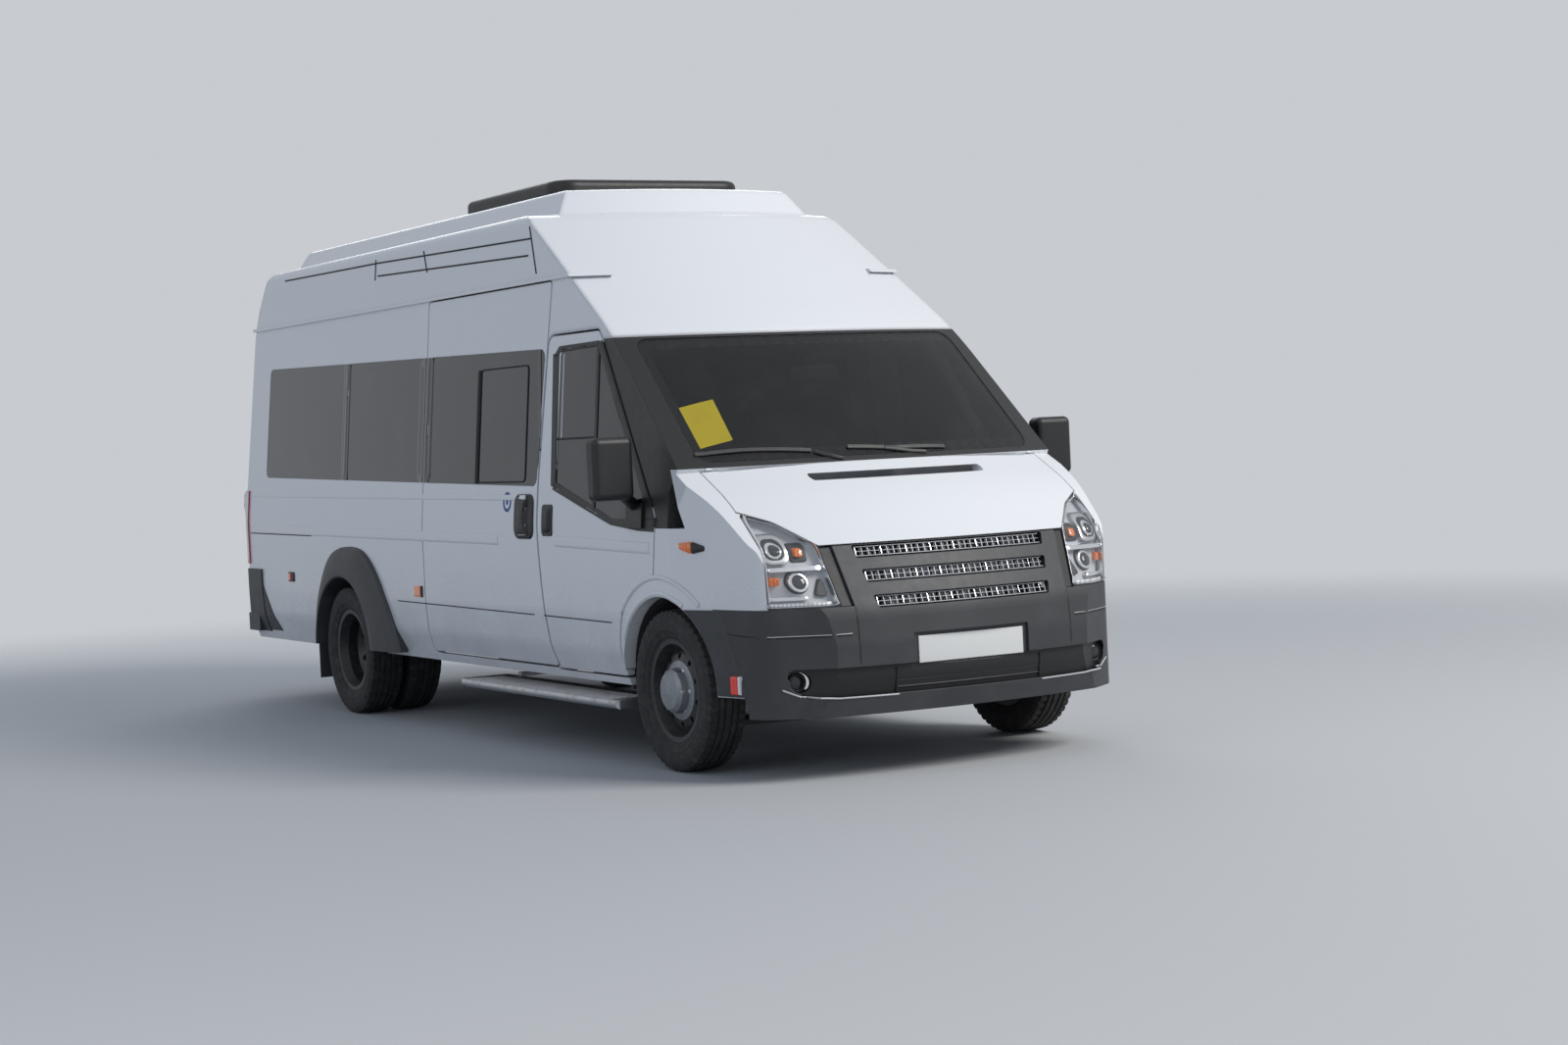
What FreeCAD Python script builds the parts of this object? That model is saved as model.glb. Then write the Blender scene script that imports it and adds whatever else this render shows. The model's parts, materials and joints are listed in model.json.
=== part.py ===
import FreeCAD, Part
import math
import os
from types import SimpleNamespace

from FreeCAD import Placement, Rotation, Vector

# Minibus: a high-roof passenger van on twin rear wheels.
# +X points forward, +Y to the vehicle's left, +Z up. The origin is on the ground,
# under the middle of the overall length and width. Lengths are in millimetres.

# Driving dimensions: name, value, what it measures
DIMENSIONS = (
    ("overall_length", 6400, "front bumper to rear bumper"),
    ("front_overhang", 930, "front axle to front bumper"),
    ("wheelbase", 3750, "front axle to rear axle"),
    ("waist_half_width", 987, "body side at its widest, from the centre line"),
    ("sill_half_width", 930, "body side at its lower edge"),
    ("roof_half_width", 848, "body side where the roof shoulder starts"),
    ("body_bottom", 350, "lower edge of the body side"),
    ("bumper_bottom", 265, "lower edge of the front bumper"),
    ("waist_height", 1050, "top of the upright part of the body side"),
    ("belt_height", 1275, "lower edge of the side windows"),
    ("window_top", 1915, "upper edge of the side windows"),
    ("band_slope", 20, "rise of the side windows towards the rear, per metre"),
    ("rail_height", 2200, "joint between body side and roof"),
    ("roof_height", 2530, "main roof skin"),
    ("deck_height", 2655, "raised roof deck"),
    ("deck_half_width", 610, "raised roof deck at its top"),
    ("deck_base_half_width", 725, "raised roof deck at its foot"),
    ("cowl_height", 1300, "windscreen base"),
    ("header_height", 1900, "windscreen top"),
    ("wall", 60, "thickness of body sides and doors"),
    ("nose_wall", 40, "thickness of front wings and hood"),
    ("glass_thickness", 6, "bonded window glass"),
    ("glass_set_in", 2, "glass below the body skin"),
    ("frit_width", 45, "lap of the glass on its frame"),
    ("door_gap", 10, "gap round doors and lids"),
    ("door_clearance", 8, "between a closed door and what stands behind it"),
    ("door_bevel", 0.06, "lean of a door's free edge, as a share of depth"),
    ("tyre_radius", 350, "road wheel outside"),
    ("tyre_width", 195, "tyre section"),
    ("rim_radius", 210, "rim flange"),
    ("front_track", 1716, "between the front wheels' middle planes"),
    ("rear_track", 1580, "between the middles of the twin wheels"),
    ("twin_spacing", 228, "between the two tyres of a twin wheel"),
    ("front_arch_radius", 408, "front wheel opening"),
    ("rear_arch_radius", 410, "rear wheel opening"),
    ("steer_offset", 70, "kingpin inboard of the front wheel's middle plane"),
    ("frame_width", 900, "between the outer faces of the chassis rails"),
    ("frame_rail_width", 70, "chassis rail"),
    ("frame_rail_height", 120, "chassis rail"),
    ("frame_top", 560, "top of the chassis rails, under the floor"),
    ("floor_thickness", 40, "cabin floor"),
    ("engine_length", 440, "engine block"),
    ("engine_width", 560, "engine block"),
    ("engine_height", 600, "engine block"),
    ("engine_bottom", 330, "engine block"),
    ("pod_length", 1200, "roof air unit"),
    ("pod_width", 1060, "roof air unit"),
    ("pod_rise", 85, "roof air unit above the deck"),
    ("seat_pitch", 760, "between rows of passenger seats"),
)

doc = FreeCAD.newDocument("Minibus")
sheet = doc.addObject("Spreadsheet::Sheet", "Sizes")
for row, (name, value, note) in enumerate(DIMENSIONS, start=1):
    sheet.set(f"A{row}", name)
    sheet.set(f"B{row}", str(value))
    sheet.set(f"C{row}", note)
    sheet.setAlias(f"B{row}", name)
doc.recompute()
size = SimpleNamespace(**{name: float(sheet.get(name)) for name, _, _ in DIMENSIONS})

FRONT = size.overall_length / 2
REAR = -FRONT
FRONT_AXLE = FRONT - size.front_overhang
REAR_AXLE = FRONT_AXLE - size.wheelbase
LEFT, RIGHT = 1, -1
SIDES = {"left": LEFT, "right": RIGHT}
FAR = 4000          # reach of a cutting tool, beyond any part of the body
WIDE = 1300         # the same, sideways
SEAT_GAP = 0.3      # between pieces that seat on one another without being joined

parts = {}          # node name to document object


# Profiles

def place_xz(point):
    return Vector(point.x, 0, point.y)


def place_yz(point):
    return Vector(0, point.x, point.y)


def place_xy(point):
    return Vector(point.x, point.y, 0)


def outline(corners, place):
    """Closed wire through corners (u, v, radius), with a tangent arc at each rounded one."""
    count = len(corners)
    turns = []
    for i, (u, v, *rest) in enumerate(corners):
        radius = rest[0] if rest else 0
        here = Vector(u, v, 0)
        back = (Vector(*corners[i - 1][:2], 0) - here).normalize()
        ahead = (Vector(*corners[(i + 1) % count][:2], 0) - here).normalize()
        if radius:
            half = back.getAngle(ahead) / 2
            reach = radius / math.tan(half)
            middle = here + (back + ahead).normalize() * (radius / math.sin(half) - radius)
            turns.append((here + back * reach, middle, here + ahead * reach))
        else:
            turns.append((here, None, here))
    edges = []
    for i, (start, middle, end) in enumerate(turns):
        if middle is not None:
            edges.append(Part.Arc(place(start), place(middle), place(end)).toShape())
        following = turns[(i + 1) % count][0]
        if (end - following).Length > 1e-6:
            edges.append(Part.LineSegment(place(end), place(following)).toShape())
    return Part.Wire(edges)


def grown(corners, distance):
    """The corners of an outline offset outwards, their rounding changed to match."""
    if not distance:
        return tuple(corners)
    count = len(corners)
    area = sum(
        corners[i - 1][0] * corners[i][1] - corners[i][0] * corners[i - 1][1] for i in range(count))
    turn = 1 if area > 0 else -1
    moved = []
    for i, (u, v, radius) in enumerate(corners):
        before, after = corners[i - 1], corners[(i + 1) % count]
        into = Vector(u - before[0], v - before[1], 0).normalize()
        out = Vector(after[0] - u, after[1] - v, 0).normalize()
        bend = into.x * out.y - into.y * out.x
        along = distance * (1 - into.dot(out)) / bend if abs(bend) > 1e-9 else 0.0
        moved_u = u + turn * (distance * into.y + along * into.x)
        moved_v = v + turn * (-distance * into.x + along * into.y)
        grows = distance if bend * turn > 0 else -distance
        moved.append((moved_u, moved_v, max(radius + grows, 0.0) if radius else 0.0))
    return tuple(moved)


def prism(wire, start, end):
    """The outline swept from start to end along its plane's normal axis."""
    face = Part.Face(wire)
    box = face.BoundBox
    if box.XLength < 1e-6:
        along = Vector(1, 0, 0)
    elif box.YLength < 1e-6:
        along = Vector(0, 1, 0)
    else:
        along = Vector(0, 0, 1)
    solid = face.extrude(along * (end - start))
    solid.translate(along * start)
    return solid


def block(x0, x1, y0, y1, z0, z1):
    """Box between two opposite corners given in any order."""
    low = Vector(min(x0, x1), min(y0, y1), min(z0, z1))
    return Part.makeBox(abs(x1 - x0), abs(y1 - y0), abs(z1 - z0), low)


def rod(start, end, radius):
    """Round bar between two points."""
    axis = end - start
    return Part.makeCylinder(radius, axis.Length, start, axis)


def mirrored(shape):
    """The same shape on the other side of the centre line."""
    return shape.mirror(Vector(0, 0, 0), Vector(0, 1, 0))


def largest(shape):
    """The biggest solid of a cut shape, without its offcuts."""
    return max(shape.Solids, key=lambda solid: solid.Volume)


def side_slab(side, inner=0.0):
    """Everything on one side of the body, outboard of the distance inner."""
    return block(-FAR, FAR, side * inner, side * FAR, -FAR, FAR)


def joined(shapes):
    """One shape from pieces that touch or overlap."""
    shapes = list(shapes)
    return shapes[0].fuse(shapes[1:]).removeSplitter() if len(shapes) > 1 else shapes[0]


def front_x(ahead):
    """X of a point given by its distance ahead of the front axle."""
    return FRONT_AXLE + ahead


def rear_x(ahead):
    """X of a point given by its distance ahead of the rear axle."""
    return REAR_AXLE + ahead


# Body form: a side profile turned about an upright axis for the curve in plan,
# met by a cross-section and by a plan outline.

SCREEN_BASE = front_x(316)
SCREEN_TOP = front_x(-330)
ROOF_FRONT = front_x(-1270)
BACK = REAR + 12          # outer face of the rear doors, just ahead of the bumper
CAB_AXIS = front_x(-3200)
NOSE_AXIS = front_x(-2200)
TOOL_FLOOR = -200
FLOOR_TOP = size.frame_top + size.floor_thickness


def cab_profile(bottom):
    # columns: x, height, corner radius
    return (
        (BACK + 20, bottom, 0), (BACK, 620, 900), (BACK + 92, 2250, 500), (BACK + 290, size.roof_height, 160),
        (ROOF_FRONT, size.roof_height, 220), (SCREEN_TOP, size.header_height, 2500),
        (SCREEN_BASE, size.cowl_height, 0), (front_x(250), size.cowl_height - 100, 0),
        (front_x(250), bottom, 0),
    )


def nose_profile(bottom):
    # columns: x, height, corner radius
    return (
        (front_x(-600), bottom, 0), (FRONT - 30, bottom, 0), (FRONT, 420, 150), (FRONT, 560, 200),
        (FRONT - 14, 690, 200), (front_x(803), 957, 45), (front_x(600), 1148, 900),
        (SCREEN_BASE, size.cowl_height + 4, 0), (front_x(-600), size.cowl_height + 4, 0),
    )


def cross_section(bottom):
    # columns: half-width, height, corner radius
    half = (
        (size.sill_half_width, bottom, 0), (size.sill_half_width + 47, 500, 200),
        (size.waist_half_width, 660, 500), (size.waist_half_width - 1, size.waist_height, 900),
        (905, size.window_top, 4000), (size.roof_half_width, size.roof_height + 12, 75),
    )
    return half + tuple((-y, z, r) for y, z, r in reversed(half))


def plan_outline():
    # columns: x, half-width, corner radius; wider than the section except at the corners
    clear = size.waist_half_width + 8
    half = (
        (BACK - 6, clear, 95), (front_x(150), clear, 2400),
        (front_x(690), 888, 200), (front_x(940), 520, 0), (front_x(980), 0, 0),
    )
    return half + tuple((x, -y, r) for x, y, r in reversed(half[:-1]))


def swept_form(profile, inset, axis_x, split_x):
    """Profile swept straight across behind split_x, and turned about an upright axis ahead of it."""
    wire = outline(grown(profile, -inset), place_xz)
    straight = prism(wire, -WIDE, WIDE).common(block(-FAR, split_x, -WIDE, WIDE, -FAR, FAR))
    start = (axis_x + split_x) / 2
    face = Part.Face(wire).common(block(start, FAR, -1, 1, -FAR, FAR)).Faces[0]
    centre, upright = Vector(axis_x, 0, 0), Vector(0, 0, 1)
    face.rotate(centre, upright, -50)
    turned = face.revolve(centre, upright, 100).common(block(split_x, FAR, -WIDE, WIDE, -FAR, FAR))
    return straight.fuse(turned).removeSplitter()


def body_form(profile, inset, lowest, axis_x, split_x):
    """The form cut to the body's section and plan, all of them inset alike."""
    bottom = lowest if inset < size.nose_wall else TOOL_FLOOR
    form = swept_form(profile(bottom), inset, axis_x, split_x)
    section = prism(outline(grown(cross_section(bottom), -inset), place_yz), -FAR, FAR)
    plan = prism(outline(grown(plan_outline(), -inset), place_xy), TOOL_FLOOR - 400, FAR)
    return form.common(section).common(plan)


def cab_form(inset):
    return body_form(cab_profile, inset, size.body_bottom, CAB_AXIS, front_x(-1500))


def nose_form(inset):
    return body_form(nose_profile, inset, size.bumper_bottom, NOSE_AXIS, front_x(-400))


cab_outer = cab_form(0)
cab_glass_top = cab_form(size.glass_set_in)
cab_glass_under = cab_form(size.glass_set_in + size.glass_thickness)
cab_inner = cab_form(size.wall)
nose_outer = nose_form(0)
nose_inner = nose_form(size.nose_wall)

cab_shell = cab_outer.cut(cab_inner)
nose_shell = nose_outer.cut(nose_inner).cut(cab_outer)
skin_layer = cab_outer.cut(cab_glass_under)
glass_layer = cab_glass_top.cut(cab_glass_under)


# Outlines of the openings. Columns: x ahead of the front axle, height, corner radius.

def ahead_of_axle(corners):
    return tuple((front_x(x), z, r) for x, z, r in corners)


def seam_x(height):
    """Rear edge of a front door, where the body side is divided."""
    rows = ((size.body_bottom, -1108), (1000, -1238), (size.window_top + 17, -1152), (size.rail_height, -1128))
    for (z0, x0), (z1, x1) in zip(rows, rows[1:]):
        if height <= z1:
            return front_x(x0 + (x1 - x0) * (height - z0) / (z1 - z0))
    return front_x(rows[-1][1])


DOOR_BOTTOM = size.body_bottom + 42
DOOR_TOP = size.window_top + 17
DOOR_FRONT = front_x(-15)
FRONT_DOOR = (
    (seam_x(DOOR_BOTTOM), DOOR_BOTTOM, 20), (front_x(-412), DOOR_BOTTOM, 20),
    (front_x(-412), 840, 345), (front_x(-50), 840, 0), (DOOR_FRONT, 1052, 0), (DOOR_FRONT, 1110, 40),
    (front_x(-578), 1890, 60), (front_x(-622), DOOR_TOP, 30), (seam_x(DOOR_TOP), DOOR_TOP, 50),
    (seam_x(1000), 1000, 2500),
)
FRONT_DOOR_GLASS = ahead_of_axle((
    (-1012, 1868, 40), (-1022, 1228, 60), (-415, 1072, 150), (-110, 1072, 25), (-110, 1160, 40),
    (-612, 1868, 50),
))
SLIDING_REAR = front_x(-2620)
SLIDING_DOOR = (
    (SLIDING_REAR, DOOR_BOTTOM + 8, 30), (seam_x(DOOR_BOTTOM) - size.door_gap, DOOR_BOTTOM + 8, 20),
    (seam_x(1000) - size.door_gap, 1000, 2500), (seam_x(DOOR_TOP) - size.door_gap, DOOR_TOP, 0),
    (seam_x(size.rail_height) - size.door_gap, size.rail_height - size.door_gap, 20),
    (SLIDING_REAR, size.rail_height - size.door_gap, 20),
)
# Panes of the window band. Columns: name, rear edge, front edge at the belt, front edge at the top
PANES = (
    ("rear", front_x(-5085), front_x(-3790), front_x(-3790)),
    ("middle", front_x(-3770), front_x(-2645), front_x(-2645)),
    ("front", front_x(-2595), front_x(-1232), front_x(-1180)),
)
SCREEN = ((-860, 1322, 60), (860, 1322, 60), (832, 1880, 60), (-832, 1880, 60))
REAR_DOOR_BOTTOM = 535
REAR_DOOR_TOP = 2165
REAR_DOOR_EDGE = 812
REAR_WINDOW = ((105, 1300, 50), (745, 1300, 70), (715, 1925, 70), (105, 1925, 50))
ARCH_DEPTH = 530          # inner wall of the wheel housings, from the centre line


def side_tool(corners, side, shrink=0.0, inner=600.0):
    """Prism through one body side, its outline shrunk (or grown, if negative)."""
    tool = prism(outline(grown(corners, -shrink), place_xz), inner, 1400)
    return tool if side == LEFT else mirrored(tool)


def leaning_tool(corners, side, grow):
    """Door outline carried through the wall, its rear edge leaning forwards with depth."""
    near, far = 1100.0, 700.0
    lean = size.door_bevel * (near - far)
    middle = (DOOR_FRONT + seam_x(1000)) / 2
    wires = []
    for y, shift in ((near, 0.0), (far, lean)):
        moved = tuple((x + (shift if x < middle - 200 else 0), z, r) for x, z, r in corners)
        wire = outline(grown(moved, grow), place_xz)
        wire.translate(Vector(0, y, 0))
        wires.append(wire)
    tool = Part.makeLoft(wires, True, True)
    return tool if side == LEFT else mirrored(tool)


def arch_tool(axle_x, radius, side):
    inboard, outboard = side * ARCH_DEPTH, side * FAR
    centre = size.tyre_radius
    tool = rod(Vector(axle_x, inboard, centre), Vector(axle_x, outboard, centre), radius)
    low = block(axle_x - radius, axle_x + radius, inboard, outboard, TOOL_FLOOR, centre)
    return tool.fuse(low).removeSplitter()


def rear_door_tool(side, grow):
    """Rear door outline, its free edge leaning away from the centre line with depth."""
    wires = []
    near, far = BACK - 1, BACK + 500
    for x in (near, far):
        free = size.door_gap / 2 + size.door_bevel * (x - near)
        corners = (
            (free, REAR_DOOR_BOTTOM, 30), (REAR_DOOR_EDGE, REAR_DOOR_BOTTOM, 60),
            (REAR_DOOR_EDGE, REAR_DOOR_TOP, 60), (free, REAR_DOOR_TOP, 30),
        )
        wire = outline(grown(corners, grow), place_yz)
        wire.translate(Vector(x, 0, 0))
        wires.append(wire)
    tool = Part.makeLoft(wires, True, True)
    return tool if side == LEFT else mirrored(tool)


def add(name, shape):
    """Adds a worked-out shape to the document under the node's name."""
    item = doc.addObject("Part::Feature", name)
    place = shape.Placement
    item.Shape = shape
    item.Label = name
    item.Placement = place
    parts[name] = item
    return item


def both(shape):
    """The shape and its mirror image, as separate solids of one piece."""
    return Part.makeCompound([shape, mirrored(shape)])


all_arches = [arch_tool(FRONT_AXLE, size.front_arch_radius, side) for side in (LEFT, RIGHT)]
all_arches += [arch_tool(REAR_AXLE, size.rear_arch_radius, side) for side in (LEFT, RIGHT)]
door_clearance = cab_inner.cut(cab_form(size.wall + size.door_clearance))
front_door_holes = [leaning_tool(FRONT_DOOR, side, size.door_gap) for side in (LEFT, RIGHT)]
rear_door_holes = [rear_door_tool(side, size.door_gap) for side in (LEFT, RIGHT)]
front_of_seam = prism(outline((
    (seam_x(0), TOOL_FLOOR, 0), (FAR, TOOL_FLOOR, 0), (FAR, size.rail_height, 0),
    (seam_x(size.rail_height), size.rail_height, 0), (seam_x(DOOR_TOP), DOOR_TOP, 0),
    (seam_x(1000), 1000, 2500)), place_xz), -FAR, FAR)
above_rail = block(-FAR, FAR, -FAR, FAR, size.rail_height, FAR)


# Roof: the shell above the rail, the front cap down to the screen, and the raised deck

def make_roof():
    cap = cab_shell.common(front_of_seam).common(block(-FAR, FAR, -FAR, FAR, size.header_height - 8, FAR))
    shell = cab_shell.common(above_rail)
    front = front_x(-1400)
    deck_profile = outline((
        (BACK + 330, size.roof_height - 45, 0), (BACK + 360, size.deck_height, 60),
        (front, size.deck_height, 60), (front + 135, size.roof_height - 45, 0)), place_xz)
    straight = prism(deck_profile, -FAR, FAR).common(block(-FAR, front_x(-1800), -FAR, FAR, -FAR, FAR))
    face = Part.Face(deck_profile).common(block(CAB_AXIS, FAR, -1, 1, -FAR, FAR)).Faces[0]
    face.rotate(Vector(CAB_AXIS, 0, 0), Vector(0, 0, 1), -45)
    turned = face.revolve(Vector(CAB_AXIS, 0, 0), Vector(0, 0, 1), 90)
    turned = turned.common(block(front_x(-1800), FAR, -FAR, FAR, -FAR, FAR))
    base, top = size.deck_base_half_width, size.deck_half_width
    section = prism(outline((
        (-base, size.roof_height - size.wall, 0), (base, size.roof_height - size.wall, 0),
        (top, size.deck_height, 25), (-top, size.deck_height, 25)), place_yz), -FAR, FAR)
    deck = straight.fuse(turned).removeSplitter().common(section)
    hollow = block(
        BACK + 420, front_x(-1600), size.wall - top, top - size.wall,
        size.roof_height - 200, size.deck_height - size.wall)
    roof = joined([shell, cap, deck.cut(cab_inner)]).cut(hollow)
    for tool in front_door_holes + rear_door_holes:
        roof = roof.cut(tool)
    return roof


add("roof", make_roof())


# Hinge barrels, in the gap on their axis

BARREL = size.door_gap / 2 - SEAT_GAP


def barrel(start, end, towards):
    """Hinge barrel on its axis, with the leaf that joins it to the piece on one side of the gap."""
    return joined([rod(start, end, BARREL), rod(start + towards, end + towards, BARREL)])


REAR_HINGE_Y = REAR_DOOR_EDGE + size.door_gap / 2
TAIL_LEAN = 92 / 1630          # of the rear doors' outer face, forwards with height


# Body sides, with the window band rebated for flush glass

def glazed(panel, layer, corners, side, lap):
    """Cuts the opening and its rebate, and returns the panel and the pane that fills the rebate."""
    panel = panel.cut(side_tool(corners, side, lap)).cut(skin_layer.common(side_tool(corners, side)))
    pane = layer.common(side_tool(corners, side, 1.0))
    return panel, pane


behind_seam = cab_shell.cut(front_of_seam).cut(above_rail)
glass = {}


def pane_corners(pane):
    """Outline of a side pane, in a band that rises slightly towards the rear."""
    name, rear, front_low, front_high = pane
    rise = size.band_slope / 1000
    foot = front_x(-3000)
    return (
        (rear, size.belt_height + rise * (foot - rear), 45),
        (front_low, size.belt_height + rise * (foot - front_low), 45),
        (front_high, size.window_top + rise * (foot - front_high), 45),
        (rear + 15, size.window_top + rise * (foot - rear), 45))


def make_side(side):
    panel = behind_seam.common(side_slab(side, 700))
    for tool in all_arches + rear_door_holes:
        panel = panel.cut(tool)
    panes = []
    fixed = PANES if side == LEFT else PANES[:2]
    if side == RIGHT:
        panel = panel.cut(side_tool(SLIDING_DOOR, RIGHT, -size.door_gap, 700))
    for pane in fixed:
        panel, sheet_of_glass = glazed(panel, glass_layer, pane_corners(pane), side, size.frit_width)
        panes.append(sheet_of_glass)
    sill = cab_shell.common(side_slab(side, 700)).common(
        block(seam_x(0) - 100, front_x(-412), -FAR, FAR, TOOL_FLOOR, DOOR_BOTTOM - size.door_gap))
    pillar = cab_inner.common(side_slab(side, 700)).cut(cab_form(size.wall + 50)).common(
        block(seam_x(1000) - 60, seam_x(1000) + 150, -FAR, FAR, FLOOR_TOP, size.rail_height))
    for tool in front_door_holes:
        pillar = pillar.cut(door_clearance.common(tool))
    panel = joined([panel, sill, pillar])
    glass[side] = panes
    return panel


def rear_hinges(side):
    """Barrels of a rear door's hinges, on the leaning edge of the body side."""
    lean = Vector(TAIL_LEAN, 0, 1)
    barrels = []
    for height in (700, 1400, 2040):
        low = Vector(BACK, side * REAR_HINGE_Y, 620) + lean * (height - 620)
        barrels.append(barrel(low, low + lean * 70, Vector(0, side * 4, 0)))
    return barrels


for label, side in SIDES.items():
    add(f"side_{label}", joined([make_side(side)] + rear_hinges(side)))
add("side_glass", Part.makeCompound(glass[LEFT] + glass[RIGHT]))


def make_sliding_door():
    panel = cab_shell.common(side_tool(SLIDING_DOOR, RIGHT, 0, 700))
    handle = cab_form(-14).cut(cab_outer).common(
        block(front_x(-1400), front_x(-1320), -900, -1100, 1010, 1190))
    panel = joined([panel, handle])
    return glazed(panel, glass_layer, pane_corners(PANES[2]), RIGHT, size.frit_width)


panel, pane = make_sliding_door()
add("sliding_door", panel)
add("sliding_door_glass", pane)

for label, side in SIDES.items():
    panel = cab_shell.common(leaning_tool(FRONT_DOOR, side, 0))
    panel, pane = glazed(panel, glass_layer, FRONT_DOOR_GLASS, side, 30)
    add(f"front_door_{label}", panel)
    add(f"front_door_glass_{label}", pane)

# Rear doors and the frame round them

def make_rear_door(side):
    panel = cab_shell.common(rear_door_tool(side, 0))
    mirror_x = {LEFT: 1, RIGHT: -1}[side]
    corners = tuple((mirror_x * y, z, r) for y, z, r in REAR_WINDOW)
    pane_area = prism(outline(corners, place_yz), BACK - 200, BACK + 400)
    opening = prism(outline(grown(corners, -size.frit_width), place_yz), BACK - 200, BACK + 400)
    panel = panel.cut(opening).cut(skin_layer.common(pane_area))
    pane = glass_layer.common(prism(outline(grown(corners, -1), place_yz), BACK - 200, BACK + 400))
    return panel, pane


for label, side in SIDES.items():
    panel, pane = make_rear_door(side)
    add(f"rear_door_{label}", panel)
    add(f"rear_door_glass_{label}", pane)

rear_frame = behind_seam.common(block(REAR, rear_x(0), -700, 700, TOOL_FLOOR, size.rail_height))
between_leaves = block(
    REAR, rear_x(0), -100, 100, REAR_DOOR_BOTTOM - size.door_gap, REAR_DOOR_TOP + size.door_gap)
for tool in rear_door_holes + [between_leaves]:
    rear_frame = rear_frame.cut(tool)
add("rear_frame", rear_frame)


# Windscreen, its frame with the pillars, and the bulkhead below it

ahead_of_seam = cab_shell.common(front_of_seam)
screen_zone = prism(outline(ahead_of_axle((
    (-700, size.header_height - 8, 0), (-120, 1052, 0), (243, 1052, 0), (118, size.cowl_height, 0),
    (600, size.cowl_height, 0), (600, size.header_height - 8, 0))), place_xz), -FAR, FAR)
screen_reach = (front_x(-1000), front_x(600))
screen_area = prism(outline(SCREEN, place_yz), *screen_reach)
screen_opening = prism(outline(grown(SCREEN, -size.frit_width), place_yz), *screen_reach)
frame = ahead_of_seam.common(screen_zone).cut(screen_opening).cut(skin_layer.common(screen_area))
for tool in front_door_holes:
    frame = frame.cut(tool)

# The front doors' hinges, carried by the pillars
DOOR_HINGE_X = DOOR_FRONT + size.door_gap / 2
DOOR_HINGE_Y = size.waist_half_width
for side in (LEFT, RIGHT):
    low = Vector(DOOR_HINGE_X, side * DOOR_HINGE_Y, 1056)
    frame = frame.fuse(barrel(low, low + Vector(0, 0, 40), Vector(5, side * -3, 0)))
add("windscreen_frame", frame.removeSplitter())
add("windscreen", glass_layer.common(prism(outline(grown(SCREEN, -1), place_yz), *screen_reach)))

HOOD_HINGE = Vector(front_x(213.5), 0, size.cowl_height - 6)
HOOD_BARREL = (815, 845)      # reach of a hood hinge barrel, from the centre line


def hood_hinge(side, radius, spare=0.0):
    """Cylinder on the hood's axis at one end of the cowl."""
    inboard, outboard = HOOD_BARREL
    return rod(
        HOOD_HINGE + Vector(0, side * (inboard - spare), 0),
        HOOD_HINGE + Vector(0, side * (outboard + spare), 0), radius)


bulkhead_zone = block(front_x(150), front_x(320), -900, 900, TOOL_FLOOR, size.cowl_height)
bulkhead = ahead_of_seam.common(bulkhead_zone).common(block(-FAR, FAR, -FAR, FAR, size.frame_top, FAR))
for tool in all_arches + [screen_zone]:
    bulkhead = bulkhead.cut(tool)
hinge_pins = []
for side in (LEFT, RIGHT):
    pin = hood_hinge(side, BARREL)
    leaf = pin.copy()
    leaf.translate(Vector(-BARREL, 0, 0))
    hinge_pins += [pin, leaf]
add("bulkhead", joined([bulkhead] + hinge_pins))


# Nose: hood, front wings, lamps, grille panel and bumper

HOOD_EDGE = 868
HOOD_CLEARANCE = 6
HOOD_LIFT = 50            # degrees
HOOD_STEPS = 8            # positions of the cowl, seen from the hood, by which its rear edge is cut
BUMPER_TOP = 714
LAMP_LOW = BUMPER_TOP + SEAT_GAP
FOG_LAMP = (752, 412, 42)     # distance from the centre line, height, radius
PLATE_HALF = 285          # recess for the number plate: half-width, height and depth from the foremost point
PLATE_FIELD = 135
PLATE_DEPTH = 26
LAMP = ((583, LAMP_LOW, 8), (852, LAMP_LOW, 8), (860, 1108, 12), (745, 1062, 90), (617, 960, 8))


def front_tool(corners, shrink=0.0):
    return prism(outline(grown(corners, -shrink), place_yz), front_x(120), front_x(1100))


def fog_lamp(side, face, spare=0.0):
    """Round lamp in the lower opening up to its face, or the seat for it."""
    y, z, radius = FOG_LAMP
    return rod(Vector(front_x(690), side * y, z), Vector(front_x(face), side * y, z), radius + spare)


def folded(half):
    """A half outline given by its left-hand corners, with its mirror image."""
    return tuple(half) + tuple((-y, z, *r) for y, z, *r in reversed(half))


hood_corners = folded((
    (HOOD_EDGE, 1500, 0), (HOOD_EDGE, 1112, 0), (745, 1062, 90), (617, 960, 8)))
hood_zone = front_tool(hood_corners)
vent = front_tool(folded(((435, 1226, 12), (450, 1256, 12))))
hood = nose_shell.common(front_tool(hood_corners, size.door_gap / 2)).cut(vent)
cowl = cab_form(-HOOD_CLEARANCE).common(block(front_x(90), front_x(420), -WIDE, WIDE, 900, 1600))
for step in range(HOOD_STEPS + 1):
    swept = cowl.copy()
    swept.rotate(HOOD_HINGE, Vector(0, 1, 0), HOOD_LIFT * step / HOOD_STEPS)
    hood = hood.cut(swept)
for side in (LEFT, RIGHT):
    hood = hood.cut(hood_hinge(side, size.door_gap / 2, 2))
add("hood", largest(hood))

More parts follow.
